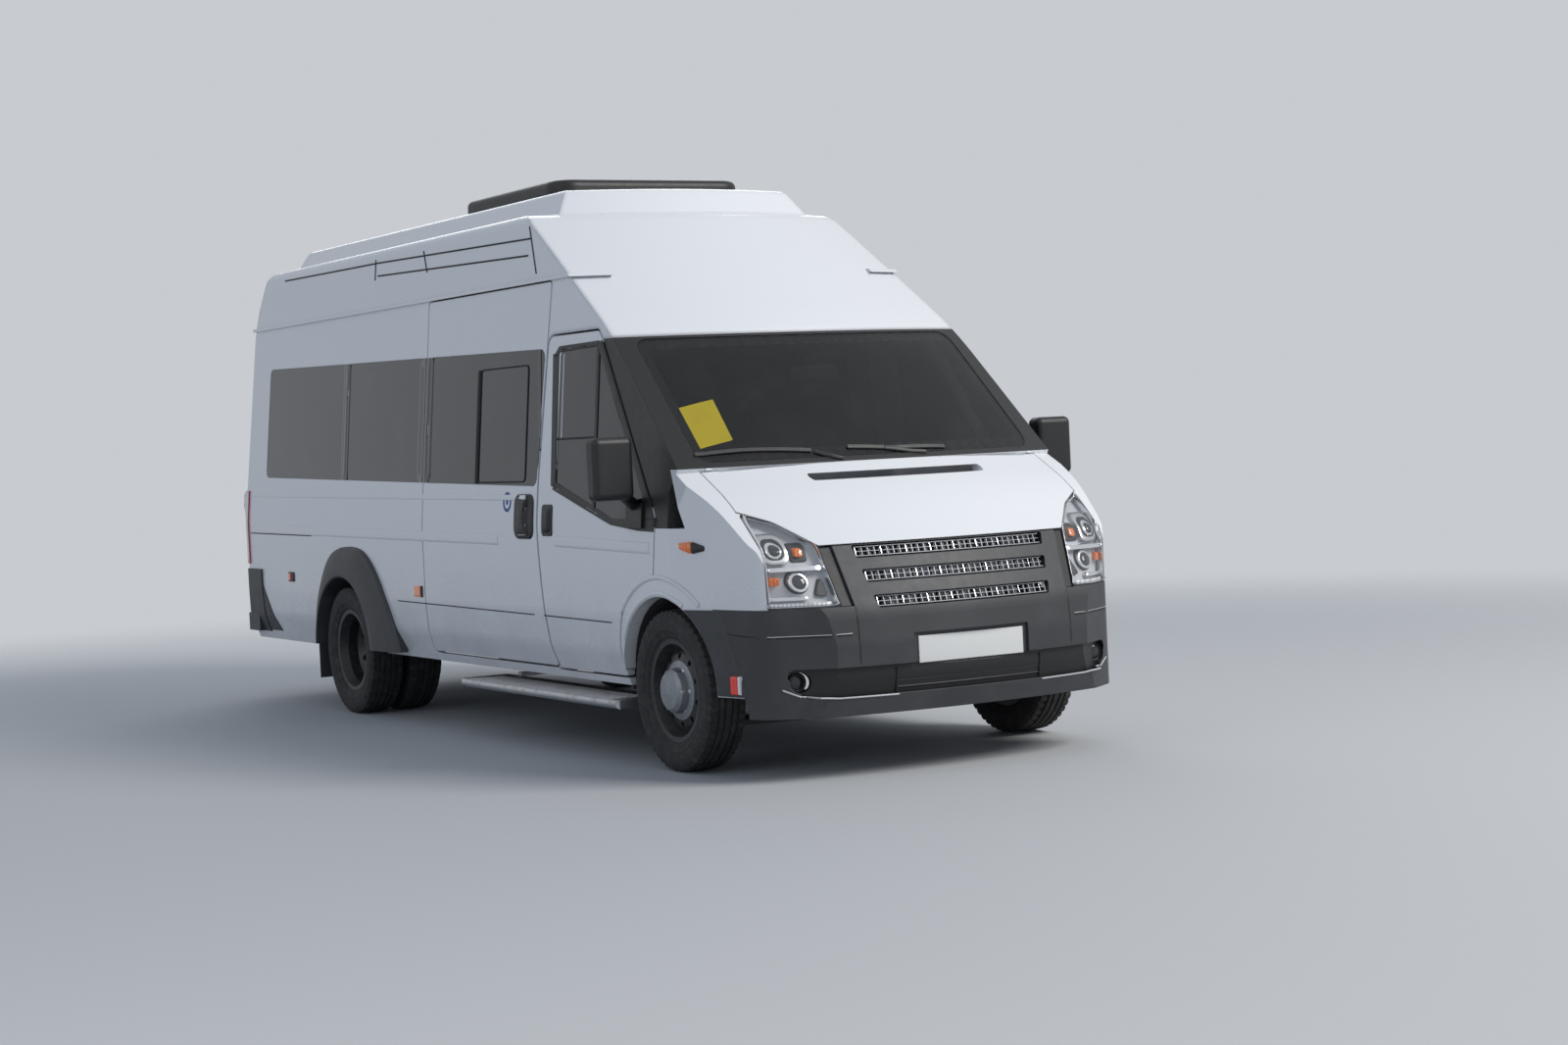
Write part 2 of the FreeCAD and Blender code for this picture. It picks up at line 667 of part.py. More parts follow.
lamp_tools = [front_tool(LAMP), mirrored(front_tool(LAMP))]
lower_opening = front_tool(folded(((745, 345, 40), (828, 466, 30))))
plate_recess = block(FRONT - PLATE_DEPTH, FRONT + 100, -PLATE_HALF, PLATE_HALF, 452, 452 + PLATE_FIELD)
bumper_zone = prism(outline((
    (front_x(400), BUMPER_TOP, 0), (front_x(1200), BUMPER_TOP, 0), (front_x(1200), TOOL_FLOOR, 0),
    (front_x(612), TOOL_FLOOR, 0), (front_x(600), 300, 80)), place_xz), -FAR, FAR)
grille_zone = front_tool(folded(((528, 470, 0), (532, 716, 0), (562, 960, 0))))
strip_zone = front_tool(((533, LAMP_LOW, 0), (579, LAMP_LOW, 0), (613, 958, 0), (562, 958, 0)))

wings = []
for side in (LEFT, RIGHT):
    wing = joined([nose_shell, ahead_of_seam]).common(side_slab(side, 300))
    wing = wing.common(block(front_x(-500), front_x(900), -FAR, FAR, size.body_bottom, size.cowl_height + 5))
    cuts = [hood_zone, grille_zone, bumper_zone, screen_zone]
    cuts += [front_tool(LAMP, -3), mirrored(front_tool(LAMP, -3))]
    cuts += front_door_holes + all_arches + [bulkhead_zone.common(cab_outer)]
    cuts.append(block(-FAR, front_x(1200), -FAR, FAR, size.header_height - 8, FAR))
    cuts.append(block(seam_x(0) - 200, front_x(-412), -FAR, FAR, TOOL_FLOOR, DOOR_BOTTOM))
    cuts.append(front_tool(((583, 700, 0), (500, 700, 0), (540, 970, 0), (617, 970, 0))))
    for tool in cuts:
        wing = wing.cut(tool)
    wings.append(wing)


add("front_wings", Part.makeCompound([largest(wing) for wing in wings]))

lens = nose_outer.cut(nose_form(5))
lamp_body = nose_form(5).cut(nose_inner)
lenses = [largest(lens.common(tool)) for tool in lamp_tools]
add("headlamp_lenses", Part.makeCompound(lenses))
bodies_of_lamps = [largest(lamp_body.common(tool)) for tool in lamp_tools]

grille_panel = nose_shell.common(grille_zone)
slots = []
for z, half_low, half_high in ((700, 425, 442), (805, 448, 462), (905, 468, 482)):
    slots.append(front_tool(folded(((half_low, z, 8), (half_high, z + 52, 8)))))
for tool in slots + [plate_recess]:
    grille_panel = grille_panel.cut(tool)
strip = nose_form(12).cut(nose_inner).common(strip_zone).cut(grille_zone)
add("grille_panel", grille_panel)

bars = []
lattice_layer = nose_form(18).cut(nose_form(32))
for slot in slots:
    piece = lattice_layer.common(slot)
    count = 22
    for i in range(count):
        y = -480 + (i + 0.5) * 960 / count
        piece = piece.cut(block(
            front_x(500), front_x(1000), y - 17, y + 17, slot.BoundBox.ZMin + 8, slot.BoundBox.ZMax - 8))
    bars.append(piece)

bumper = nose_shell.common(bumper_zone).cut(grille_zone)
fog_seats = [fog_lamp(side, 1000, SEAT_GAP) for side in (LEFT, RIGHT)]
for tool in all_arches + fog_seats + [lower_opening, plate_recess]:
    bumper = bumper.cut(tool)
add("front_bumper", largest(bumper))


# Wheels. Profiles: radius, offset outwards from the wheel's middle plane, corner radius.

STUB_RADIUS = 30
RUNNING_FIT = 0.05
RIM_EDGE = 74
FLANGE_IN = 67
BEAD = FLANGE_IN - SEAT_GAP
HALF_TYRE = size.tyre_width / 2
RIM_SECTION = (
    (size.rim_radius + 14, RIM_EDGE, 0), (size.rim_radius + 14, FLANGE_IN, 0), (size.rim_radius, FLANGE_IN, 0),
    (size.rim_radius, 36, 0), (size.rim_radius - 18, 22, 0), (size.rim_radius - 18, -22, 0),
    (size.rim_radius, -36, 0), (size.rim_radius, -FLANGE_IN, 0), (size.rim_radius + 14, -FLANGE_IN, 0),
    (size.rim_radius + 14, -RIM_EDGE, 0), (size.rim_radius - 8, -RIM_EDGE + 2, 0),
    (size.rim_radius - 26, -26, 0), (size.rim_radius - 26, 26, 0), (size.rim_radius - 8, RIM_EDGE - 2, 0),
)
TYRE_SIDE = (
    (size.rim_radius + SEAT_GAP, BEAD, 0), (size.rim_radius + 16, BEAD, 0),
    (size.rim_radius + 32, HALF_TYRE - 10, 0), (size.tyre_radius - 76, HALF_TYRE - 1, 0),
    (size.tyre_radius - 52, HALF_TYRE, 0), (size.tyre_radius - 26, HALF_TYRE - 5, 0),
    (size.tyre_radius - 9, HALF_TYRE - 15, 0), (size.tyre_radius - 2, HALF_TYRE - 32, 0),
)
TYRE_SECTION = TYRE_SIDE + ((size.tyre_radius, 0, 0),) + tuple((r, -o, c) for r, o, c in reversed(TYRE_SIDE))


def turned_about_y(corners, centre, outwards):
    """Ring or disc made by turning a (radius, offset) profile about a wheel's axis."""
    wire = outline(tuple((r, outwards * o, c) for r, o, c in corners), place_xy)
    ring = Part.Face(wire).revolve(Vector(0, 0, 0), Vector(0, 1, 0), 360)
    ring.translate(centre)
    return ring


HUB = STUB_RADIUS + RUNNING_FIT
DISC_EDGE = size.rim_radius - 22
CONE_OUT = size.twin_spacing / 2 + 5      # plane in which the discs of a twin wheel meet
CONE_THICKNESS = 14
CAP = 12
FRONT_DISC = (
    (HUB, -10, 0), (62, -10, 0), (62, 42, 0), (DISC_EDGE - 30, 28, 0), (DISC_EDGE, 8, 0),
    (DISC_EDGE, 20, 0), (DISC_EDGE - 30, 40, 0), (100, 56, 0), (94, 88, 0), (78, 104, 0), (0, 110, 0),
    (0, 110 - CAP, 0), (HUB, 96, 0),
)
REAR_OUTER_DISC = (
    (HUB, CONE_THICKNESS - CONE_OUT - 14, 0), (110, CONE_THICKNESS - CONE_OUT - 14, 0), (DISC_EDGE, -46, 0),
    (DISC_EDGE, -24, 0), (118, 2 - CONE_OUT + 14, 0), (94, 2 - CONE_OUT + 14, 0), (86, -40, 0),
    (50, -30, 0), (0, -30, 0), (0, -30 - CAP, 0), (HUB, -30 - CAP, 0),
)
REAR_INNER_DISC = (
    (HUB, CONE_OUT, 0), (110, CONE_OUT, 0), (DISC_EDGE, 46, 0), (DISC_EDGE, 24, 0),
    (118, CONE_OUT - 16, 0), (HUB, CONE_OUT - 16, 0),
)
BRAKE_DRUM = ((HUB, CONE_OUT - 20, 0), (150, CONE_OUT - 20, 0), (150, 20, 0), (HUB, 20, 0))


def pierced(disc, centre, holes, hole_radius):
    """The wheel disc with its ring of hand holes."""
    circle = size.rim_radius - 60
    for i in range(holes):
        angle = 2 * math.pi * (i + 0.5) / holes
        spot = centre + Vector(circle * math.cos(angle), 0, circle * math.sin(angle))
        disc = disc.cut(rod(spot - Vector(0, 400, 0), spot + Vector(0, 400, 0), hole_radius))
    return disc


FRONT_WHEEL_Y = size.front_track / 2
KINGPIN_Y = FRONT_WHEEL_Y - size.steer_offset
REAR_MID_Y = size.rear_track / 2
REAR_OUTER_Y = REAR_MID_Y + size.twin_spacing / 2
REAR_INNER_Y = REAR_MID_Y - size.twin_spacing / 2
AXLE_Z = size.tyre_radius

for label, side in SIDES.items():
    hub = Vector(FRONT_AXLE, side * FRONT_WHEEL_Y, AXLE_Z)
    disc = pierced(turned_about_y(FRONT_DISC, hub, side), hub, 10, 13)
    add(f"front_wheel_{label}", joined([turned_about_y(RIM_SECTION, hub, side), disc]))
    add(f"front_tyre_{label}", turned_about_y(TYRE_SECTION, hub, side))
    outer = Vector(REAR_AXLE, side * REAR_OUTER_Y, AXLE_Z)
    inner = Vector(REAR_AXLE, side * REAR_INNER_Y, AXLE_Z)
    discs = joined([turned_about_y(REAR_OUTER_DISC, outer, side), turned_about_y(REAR_INNER_DISC, inner, side)])
    twin = [pierced(discs, outer, 8, 20), turned_about_y(BRAKE_DRUM, inner, side)]
    twin += [turned_about_y(RIM_SECTION, centre, side) for centre in (outer, inner)]
    add(f"rear_wheels_{label}", joined(twin))
    add(f"rear_tyres_{label}", Part.makeCompound([
        turned_about_y(TYRE_SECTION, centre, side) for centre in (outer, inner)]))


# Front suspension: crossmember and arms on the frame, and the knuckles that steer

RAIL_Y = size.frame_width / 2
RAIL_LOW = size.frame_top - size.frame_rail_height
BALL_LOW, BALL_HIGH = AXLE_Z - 135, AXLE_Z + 135

SUSPENSION_TOP = AXLE_Z + size.front_arch_radius
HANGER_IN = RAIL_Y - size.frame_rail_width + 1


def wishbone(side, inboard, low, high):
    """Triangular arm from its pivots inboard to the ball joint of the knuckle."""
    return prism(outline((
        (front_x(-140), side * inboard, 0), (front_x(140), side * inboard, 0),
        (front_x(38), side * (KINGPIN_Y + 30), 20), (front_x(-38), side * (KINGPIN_Y + 30), 20)), place_xy), low, high)


subframe = [block(front_x(-70), front_x(70), -HANGER_IN - 9, HANGER_IN + 9, 230, 290)]
upper_arms = []
for side in (LEFT, RIGHT):
    subframe.append(wishbone(side, HANGER_IN, BALL_LOW - 34, BALL_LOW - 12))
    subframe.append(block(front_x(-60), front_x(60), side * HANGER_IN, side * (RAIL_Y - 1), 190, RAIL_LOW))
    strut = rod(
        Vector(FRONT_AXLE, side * (KINGPIN_Y - 80), BALL_HIGH + 20),
        Vector(FRONT_AXLE, side * (KINGPIN_Y - 110), SUSPENSION_TOP - 3), 24)
    upper_arms.append(joined([wishbone(side, RAIL_Y, BALL_HIGH + 12, BALL_HIGH + 34), strut]))
add("front_subframe", Part.makeCompound([joined(subframe)] + upper_arms))

for label, side in SIDES.items():
    kingpin = side * KINGPIN_Y
    upright = block(
        front_x(-38), front_x(38), kingpin - 28, kingpin + 28, BALL_LOW - 4, BALL_HIGH + 4)
    pins = rod(
        Vector(FRONT_AXLE, kingpin, BALL_LOW - 12 + SEAT_GAP),
        Vector(FRONT_AXLE, kingpin, BALL_HIGH + 12 - SEAT_GAP), 16)
    stub = rod(
        Vector(FRONT_AXLE, kingpin, AXLE_Z), Vector(FRONT_AXLE, side * (FRONT_WHEEL_Y + 80), AXLE_Z), STUB_RADIUS)
    steer_arm = block(
        front_x(-150), front_x(-30), kingpin - side * 26, kingpin - side * 4, AXLE_Z - 60, AXLE_Z - 30)
    add(f"knuckle_{label}", joined([upright, pins, stub, steer_arm]))


# Chassis frame, rear axle with its springs, drive line

cross_rows = (front_x(770), front_x(-700), front_x(-2000), rear_x(500), rear_x(-900), rear_x(-1560))
RAIL_IN = RAIL_Y - size.frame_rail_width
RAIL_MID = RAIL_Y - size.frame_rail_width / 2
TOW_HOLE_X = (rear_x(-1500), rear_x(-1320))
TOW_HOLE_RADIUS = 6.5
TOW_HOLE_DEPTH = 45
JACK_X = -500
JACK_PAD = (60, 25, 12)          # half-length, half-width, depth below the rail
frame_pieces = []
for side in (LEFT, RIGHT):
    rail = block(rear_x(-1600), front_x(830), side * RAIL_IN, side * RAIL_Y, RAIL_LOW, size.frame_top)
    half_length, half_width, depth = JACK_PAD
    middle = side * RAIL_MID
    pad = block(
        JACK_X - half_length, JACK_X + half_length, middle - half_width, middle + half_width,
        RAIL_LOW - depth, RAIL_LOW + 1)
    rail = joined([rail, pad])
    for x in TOW_HOLE_X:
        spot = Vector(x, middle, RAIL_LOW)
        rail = rail.cut(rod(spot - Vector(0, 0, 1), spot + Vector(0, 0, TOW_HOLE_DEPTH), TOW_HOLE_RADIUS))
    frame_pieces.append(rail)
cross_half = RAIL_IN - SEAT_GAP
for x in cross_rows:
    frame_pieces.append(block(x, x + 60, -cross_half, cross_half, RAIL_LOW + 25, size.frame_top - 25))
add("chassis_frame", Part.makeCompound(frame_pieces))

def across(half, radius):
    """Round bar on the rear axle's line, reaching as far to both sides."""
    return rod(Vector(REAR_AXLE, -half, AXLE_Z), Vector(REAR_AXLE, half, AXLE_Z), radius)


AXLE_TUBE_RADIUS = 44
SPRING_EYES = 640
banjo = Part.makeSphere(135, Vector(REAR_AXLE, 0, AXLE_Z)).common(
    block(rear_x(-200), rear_x(200), -80, 80, 0, 900))
rear_axle = joined([
    across(REAR_INNER_Y - 90, AXLE_TUBE_RADIUS), across(REAR_OUTER_Y - 50, STUB_RADIUS), banjo])
spring = prism(outline((
    (rear_x(-SPRING_EYES), 430, 0), (rear_x(-80), AXLE_Z + 46, 700),
    (rear_x(80), AXLE_Z + 46, 700), (rear_x(SPRING_EYES), 430, 0),
    (rear_x(SPRING_EYES), 416, 0), (rear_x(80), AXLE_Z + 16, 700),
    (rear_x(-80), AXLE_Z + 16, 700), (rear_x(-SPRING_EYES), 416, 0)), place_xz), RAIL_Y - 68, RAIL_Y - 2)
for x in (rear_x(10 - SPRING_EYES), rear_x(SPRING_EYES - 10)):
    spring = spring.fuse(block(x - 25, x + 25, RAIL_Y - 68, RAIL_Y - 2, 416, RAIL_LOW))
spring = joined([spring]).cut(across(RAIL_Y, AXLE_TUBE_RADIUS + SEAT_GAP)).removeSplitter()

engine = doc.addObject("Part::Box", "engine_block")
engine.Label = "engine"
engine.setExpression("Length", "Sizes.engine_length")
engine.setExpression("Width", "Sizes.engine_width")
engine.setExpression("Height", "Sizes.engine_height")
engine.setExpression("Placement.Base.x", "Sizes.overall_length / 2 - Sizes.front_overhang + 275")
engine.setExpression("Placement.Base.y", "-Sizes.engine_width / 2")
engine.setExpression("Placement.Base.z", "Sizes.engine_bottom")
parts["engine"] = engine

GEARBOX_END = front_x(-420)
gearbox = rod(Vector(front_x(275 - SEAT_GAP), 0, 435), Vector(GEARBOX_END, 0, 435), 105)
shaft = rod(Vector(GEARBOX_END - SEAT_GAP, 0, 420), Vector(rear_x(60), 0, AXLE_Z + 5), 34).cut(gearbox)
add("rear_axle", Part.makeCompound([
    rear_axle, spring, mirrored(spring), gearbox, largest(shaft.cut(rear_axle))]))
tank = block(front_x(-2450), front_x(-1350), RAIL_Y + 12, 860, 300, size.frame_top - SEAT_GAP)
tank = tank.makeFillet(35, tank.Edges)
add("fuel_tank", tank)
muffler = rod(Vector(front_x(-2500), -600, 420), Vector(front_x(-1900), -600, 420), 95)
hangers = [
    block(x - 15, x + 15, -615, -585, 440, size.frame_top - SEAT_GAP) for x in (front_x(-2400), front_x(-1600))]
pipes = [
    muffler, rod(Vector(front_x(-1900), -600, 420), Vector(front_x(-900), -560, 420), 30),
    rod(Vector(front_x(-2500), -600, 420), Vector(rear_x(560), -600, 420), 28)]
add("exhaust", joined(pipes + hangers))


# Floor with its wheel housings

floor_slab = block(REAR, front_x(250), -WIDE, WIDE, size.frame_top, FLOOR_TOP).common(cab_inner)
housings = []
windows_for_arms = []
# columns: axle, arch radius, half-width and top of the window that the axle or arm passes through
for axle_x, radius, half_window, window_top in (
        (FRONT_AXLE, size.front_arch_radius, 160, BALL_HIGH + 50),
        (REAR_AXLE, size.rear_arch_radius, 70, AXLE_Z + 70)):
    for side in (LEFT, RIGHT):
        inboard = side * (ARCH_DEPTH - 14)
        drum = rod(Vector(axle_x, inboard, AXLE_Z), Vector(axle_x, side * 1400, AXLE_Z), radius + 14)
        drum = drum.common(block(axle_x - 600, axle_x + 600, side * 400, side * 1400, AXLE_Z, 1500))
        skirt = block(axle_x - radius - 14, axle_x + radius + 14, inboard, side * 1400, 330, AXLE_Z)
        housings.append(drum.fuse(skirt).removeSplitter())
        windows_for_arms.append(block(
            axle_x - half_window, axle_x + half_window, inboard - side * 5, side * (ARCH_DEPTH + 5), 300, window_top))
limit = joined([cab_inner, nose_inner]).common(block(REAR, front_x(420), -WIDE, WIDE, 330, 1200))
floor_pieces = []
for housing in housings:
    floor_slab = floor_slab.cut(housing)
for shape in [floor_slab] + [housing.common(limit) for housing in housings]:
    for tool in all_arches + windows_for_arms + [cab_shell, nose_shell]:
        shape = shape.cut(tool)
    for tool in front_door_holes + rear_door_holes:
        shape = shape.cut(door_clearance.common(tool))
    floor_pieces.append(largest(shape.removeSplitter()))
add("floor", Part.makeCompound(floor_pieces))


# Cabin: dashboard, steering wheel, seats

DASH_FRONT = front_x(190 - SEAT_GAP)
dash = prism(outline((
    (DASH_FRONT, 760, 0), (DASH_FRONT, 1170, 0), (front_x(-60), 1235, 60), (front_x(-330), 1200, 60),
    (front_x(-360), 1060, 60), (front_x(-120), 830, 80)), place_xz), -900, 900)
dash = dash.common(cab_form(size.wall + SEAT_GAP))
for tool in front_door_holes:
    dash = dash.cut(door_clearance.common(tool))
WHEEL_CENTRE = Vector(front_x(-440), 400, 1180)
COLUMN_LEAN = 35
column_axis = Vector(-math.cos(math.radians(COLUMN_LEAN)), 0, math.sin(math.radians(COLUMN_LEAN)))
SHAFT_LENGTH = 80
column = rod(WHEEL_CENTRE - column_axis * 200, WHEEL_CENTRE - column_axis * (SHAFT_LENGTH + SEAT_GAP), 32)
add("dashboard", joined([dash, column]))
ring = turned_about_y(
    tuple((195 + 14 * math.cos(t), 14 * math.sin(t), 0) for t in (math.pi * k / 4 for k in range(8))),
    Vector(0, 0, 0), 1)
ring.rotate(Vector(0, 0, 0), Vector(1, 0, 0), 90)
spokes = [Part.makeBox(380, 34, 14, Vector(-190, -17, -22)), Part.makeBox(34, 180, 14, Vector(-17, -190, -22))]
boss = Part.makeCylinder(55, 40, Vector(0, 0, -40))
shaft_end = Part.makeCylinder(18, SHAFT_LENGTH, Vector(0, 0, -SHAFT_LENGTH))
steering = joined([ring, boss, shaft_end] + spokes)
steering.Placement = Placement(WHEEL_CENTRE, Rotation(Vector(0, 0, 1), column_axis))
add("steering_wheel", steering)


CUSHION_LOW = FLOOR_TOP + 300
CUSHION_TOP = CUSHION_LOW + 120
BACK_TOP = FLOOR_TOP + 980
REST_TOP = BACK_TOP + 180
STEM_RADIUS = 8


def seat(x, y, width):
    """One seat facing forwards: base, cushion, back, and head rest on its two stems."""
    half = width / 2
    base = block(x - 180, x + 160, y - half + 60, y + half - 60, FLOOR_TOP, CUSHION_LOW)
    cushion = block(x - 240, x + 240, y - half, y + half, CUSHION_LOW + SEAT_GAP, CUSHION_TOP)
    cushion = cushion.makeChamfer(25, cushion.Edges)
    back = prism(outline((
        (x - 235, CUSHION_TOP + SEAT_GAP, 30), (x - 125, CUSHION_TOP + SEAT_GAP, 30),
        (x - 260, BACK_TOP, 40), (x - 350, BACK_TOP, 40)), place_xz), y - half + 10, y + half - 10)
    rest = block(x - 350, x - 270, y - 120, y + 120, BACK_TOP + 30, REST_TOP)
    stems = [
        rod(Vector(x - 308, y + dy, BACK_TOP + SEAT_GAP), Vector(x - 308, y + dy, BACK_TOP + 40), STEM_RADIUS)
        for dy in (-50, 50)]
    return [base, cushion, back, joined([rest] + stems)]


front_seats = []
for y, width in ((400, 500), (-140, 400), (-590, 400)):
    front_seats += seat(front_x(-900), y, width)
add("front_seats", Part.makeCompound(front_seats))
SEAT_ROWS = 5
passenger_seats = []
for i in range(SEAT_ROWS):
    x = front_x(-1800) - i * size.seat_pitch
    for y in (650, 210, -650):
        over_wheel = abs(x - REAR_AXLE) < 660 and abs(y) > 400
        if not over_wheel:
            passenger_seats += seat(x, y, 420)
add("passenger_seats", Part.makeCompound(passenger_seats))


# Outside pieces

FLARE_HALF_WIDTH = 1040
# Edges of a rear wheel flare. Columns: x ahead of the rear axle, height, corner radius.
FLARE_OUTSIDE = (
    (745, 372, 20), (560, 700, 300), (330, 900, 260), (100, 935, 300), (-230, 905, 260), (-450, 640, 220),
    (-470, 372, 20),
)
FLARE_INSIDE = (
    (600, 300, 0), (395, 620, 260), (200, 745, 200), (-200, 745, 200), (-400, 560, 200), (-400, 300, 0),
)


def ahead_of_rear_axle(corners):
    return tuple((rear_x(x), z, r) for x, z, r in corners)


def flare(side):
    shape = prism(outline(ahead_of_rear_axle(FLARE_OUTSIDE), place_xz), 900, FLARE_HALF_WIDTH).cut(cab_outer)
    shape = shape.cut(prism(outline(ahead_of_rear_axle(FLARE_INSIDE), place_xz), 800, WIDE))
    return shape if side == LEFT else mirrored(shape)


flaps = both(block(rear_x(-500), rear_x(-490), 590, 990, 170, 560).cut(cab_shell))
add("arch_flares", Part.makeCompound([largest(flare(LEFT)), largest(flare(RIGHT))] + flaps.Solids))

step = block(front_x(-2190), front_x(-430), -1000, -740, 245, 285)
step = step.makeFillet(18, [e for e in step.Edges if e.BoundBox.YMax < -990])
brackets = []
for x in (front_x(-2000), front_x(-620)):
    brackets.append(block(x - 20, x + 20, -760, -RAIL_Y, 285, 305))
    brackets.append(block(x - 20, x + 20, -RAIL_Y - 20, -RAIL_Y, 285, size.frame_top - 20))
add("side_step", joined([step] + brackets))

rail_band = cab_form(-16).cut(cab_outer).common(
    block(BACK + 40, front_x(-600), -WIDE, WIDE, size.rail_height - 4, size.rail_height + 14))
rail_band = rail_band.cut(block(-FAR, FAR, -700, 700, -FAR, FAR))
add("drip_rails", rail_band)

pod_x, pod_y = size.pod_length / 2, size.pod_width / 2
pod = prism(outline(
    ((-pod_x, -pod_y, 120), (pod_x, -pod_y, 120), (pod_x, pod_y, 120), (-pod_x, pod_y, 120)), place_xy),
    0, size.pod_rise)
top_edges = [edge for edge in pod.Edges if edge.BoundBox.ZMin > size.pod_rise - 1]
pod = pod.makeFillet(35, top_edges)
pod.translate(Vector(front_x(-2370), 0, size.deck_height))
add("roof_pod", pod)

bumper_rear = block(REAR, BACK + 180, -985, 985, 395, 500).cut(cab_outer)
corners_low = []
for side in (LEFT, RIGHT):
    corner = cab_form(-10).cut(cab_outer).common(block(REAR - 20, REAR + 300, side * 830, side * 1100, 395, 770))
    corners_low.append(corner)
rear_bumper = joined([bumper_rear] + corners_low)
add("rear_bumper", largest(rear_bumper))

tail = cab_form(-8).cut(cab_outer).common(block(REAR - 20, REAR + 95, 835, 1100, 800, 1240))
add("tail_lamps", both(largest(tail)))

for label, side in SIDES.items():
    mount_x = front_x(-200)
    arm = rod(Vector(mount_x, side * 978, 1150), Vector(front_x(-60), side * 1120, 1215), 26)
    head = block(front_x(-120), front_x(-20), side * 1060, side * 1250, 1180, 1450)
    head = head.makeFillet(30, head.Edges)
    foot = cab_form(-16).cut(cab_outer).common(
        block(front_x(-260), front_x(-110), side * 900, side * 1100, 1052, 1160))
    mirror = joined([arm.cut(cab_outer), head, foot])
    add(f"mirror_{label}", largest(mirror))

fog = [fog_lamp(side, 752) for side in (LEFT, RIGHT)]
mesh = nose_form(22).cut(nose_inner).common(lower_opening).cut(plate_recess)
for seat_of_lamp in fog_seats:
    mesh = mesh.cut(seat_of_lamp)
add("grilles", Part.makeCompound(bars + [largest(strip), mirrored(largest(strip)), largest(mesh)]))
add("headlamps", Part.makeCompound(bodies_of_lamps + fog))
radiator = block(front_x(740 - SEAT_GAP), front_x(770 - SEAT_GAP), -330, 330, 420, 850)
add("radiator", radiator)


# Check and write

doc.recompute()
os.makedirs("parts", exist_ok=True)
for item in doc.Objects:
    if {"Invalid", "Error"} & set(item.State):
        raise RuntimeError(f"{item.Label} is {item.State}")
for name, item in parts.items():
    if item.Shape.isNull() or not item.Shape.isValid():
        raise RuntimeError(f"{name} has no valid shape")
for name, item in parts.items():
    item.Shape.exportStep(f"parts/{name}.step")
    print(f"{name}: {len(item.Shape.Solids)} solids, {item.Shape.Volume / 1e6:.1f} dm3")
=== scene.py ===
import json
import logging
import math
from collections.abc import Callable
from dataclasses import dataclass
from enum import Enum

import bpy
import numpy as np
from mathutils import Matrix, Vector


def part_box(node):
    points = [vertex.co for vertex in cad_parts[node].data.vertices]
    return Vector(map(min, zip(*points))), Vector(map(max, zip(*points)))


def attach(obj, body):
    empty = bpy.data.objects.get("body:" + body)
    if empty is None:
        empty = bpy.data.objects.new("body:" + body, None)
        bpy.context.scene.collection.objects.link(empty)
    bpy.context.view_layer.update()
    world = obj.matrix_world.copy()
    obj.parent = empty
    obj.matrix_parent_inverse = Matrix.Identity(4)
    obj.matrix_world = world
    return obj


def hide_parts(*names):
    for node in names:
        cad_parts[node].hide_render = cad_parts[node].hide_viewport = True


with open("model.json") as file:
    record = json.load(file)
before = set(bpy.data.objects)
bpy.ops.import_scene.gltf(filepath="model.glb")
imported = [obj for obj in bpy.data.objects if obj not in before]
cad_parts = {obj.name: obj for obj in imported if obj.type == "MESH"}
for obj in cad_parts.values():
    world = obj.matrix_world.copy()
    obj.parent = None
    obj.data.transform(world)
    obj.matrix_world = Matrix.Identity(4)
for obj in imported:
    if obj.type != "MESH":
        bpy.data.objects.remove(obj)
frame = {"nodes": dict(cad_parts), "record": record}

Array = np.ndarray
Shape = tuple[Array, Array]  # points and faces
Point = tuple[float, float, float]
Colour = tuple[float, float, float]
Flat = list[tuple[float, float]] | tuple[tuple[float, float], ...]

log = logging.getLogger("minibus")


# Driving places, from the frame. Metres; +X forward, +Y to the vehicle's left, +Z up

def middle(node: str) -> Array:
    """Returns the centre of a CAD node's box."""
    low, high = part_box(node)
    return (np.array(low) + np.array(high)) / 2


FRONT_AXLE_X, _, AXLE_Z = middle("front_tyre_left").tolist()
REAR_AXLE_X = middle("rear_tyres_left").tolist()[0]
RIGHT, LEFT = -1, 1
SIDES = {"left": LEFT, "right": RIGHT}


class Axis(Enum):
    """The direction that a skin is looked along."""

    X = 0
    Y = 1
    Z = 2

    def others(self) -> list[int]:
        """Returns the numbers of the other two axes."""
        return [k for k in range(3) if k != self.value]


# Shader values and materials

ROAD_DUST = (0.42, 0.38, 0.33)
WINDOW_DUST = (0.35, 0.34, 0.32)
TYRE_DUST = (0.11, 0.1, 0.085)
WHEEL_DUST = (0.12, 0.11, 0.1)


def maths(operation: str, swapped: bool = False) -> Callable[..., "Value"]:
    """Returns a method of Value that adds a Math node, with the operands swapped where that is asked for."""
    def work(value: "Value", *others: "Value | float") -> "Value":
        operands = (*others, value) if swapped else (value, *others)
        return value.tree.node("ShaderNodeMath", {"operation": operation}, dict(enumerate(operands)))

    return work


@dataclass
class Value:
    """A socket of a node tree, on which arithmetic adds the node that works it out."""

    tree: "Tree"
    socket: bpy.types.NodeSocket

    __add__ = maths("ADD")
    __sub__ = maths("SUBTRACT")
    __rsub__ = maths("SUBTRACT", swapped=True)
    __mul__ = maths("MULTIPLY")
    __pow__ = maths("POWER")
    most = maths("MAXIMUM")
    sine = maths("SINE")

    def ramp(self, low: float, high: float) -> "Value":
        """0 below low, 1 above high, and a smooth rise between them."""
        return self.tree.node("ShaderNodeMapRange", {"interpolation_type": "SMOOTHSTEP"}, {
            "Value": self, "From Min": low, "From Max": high})


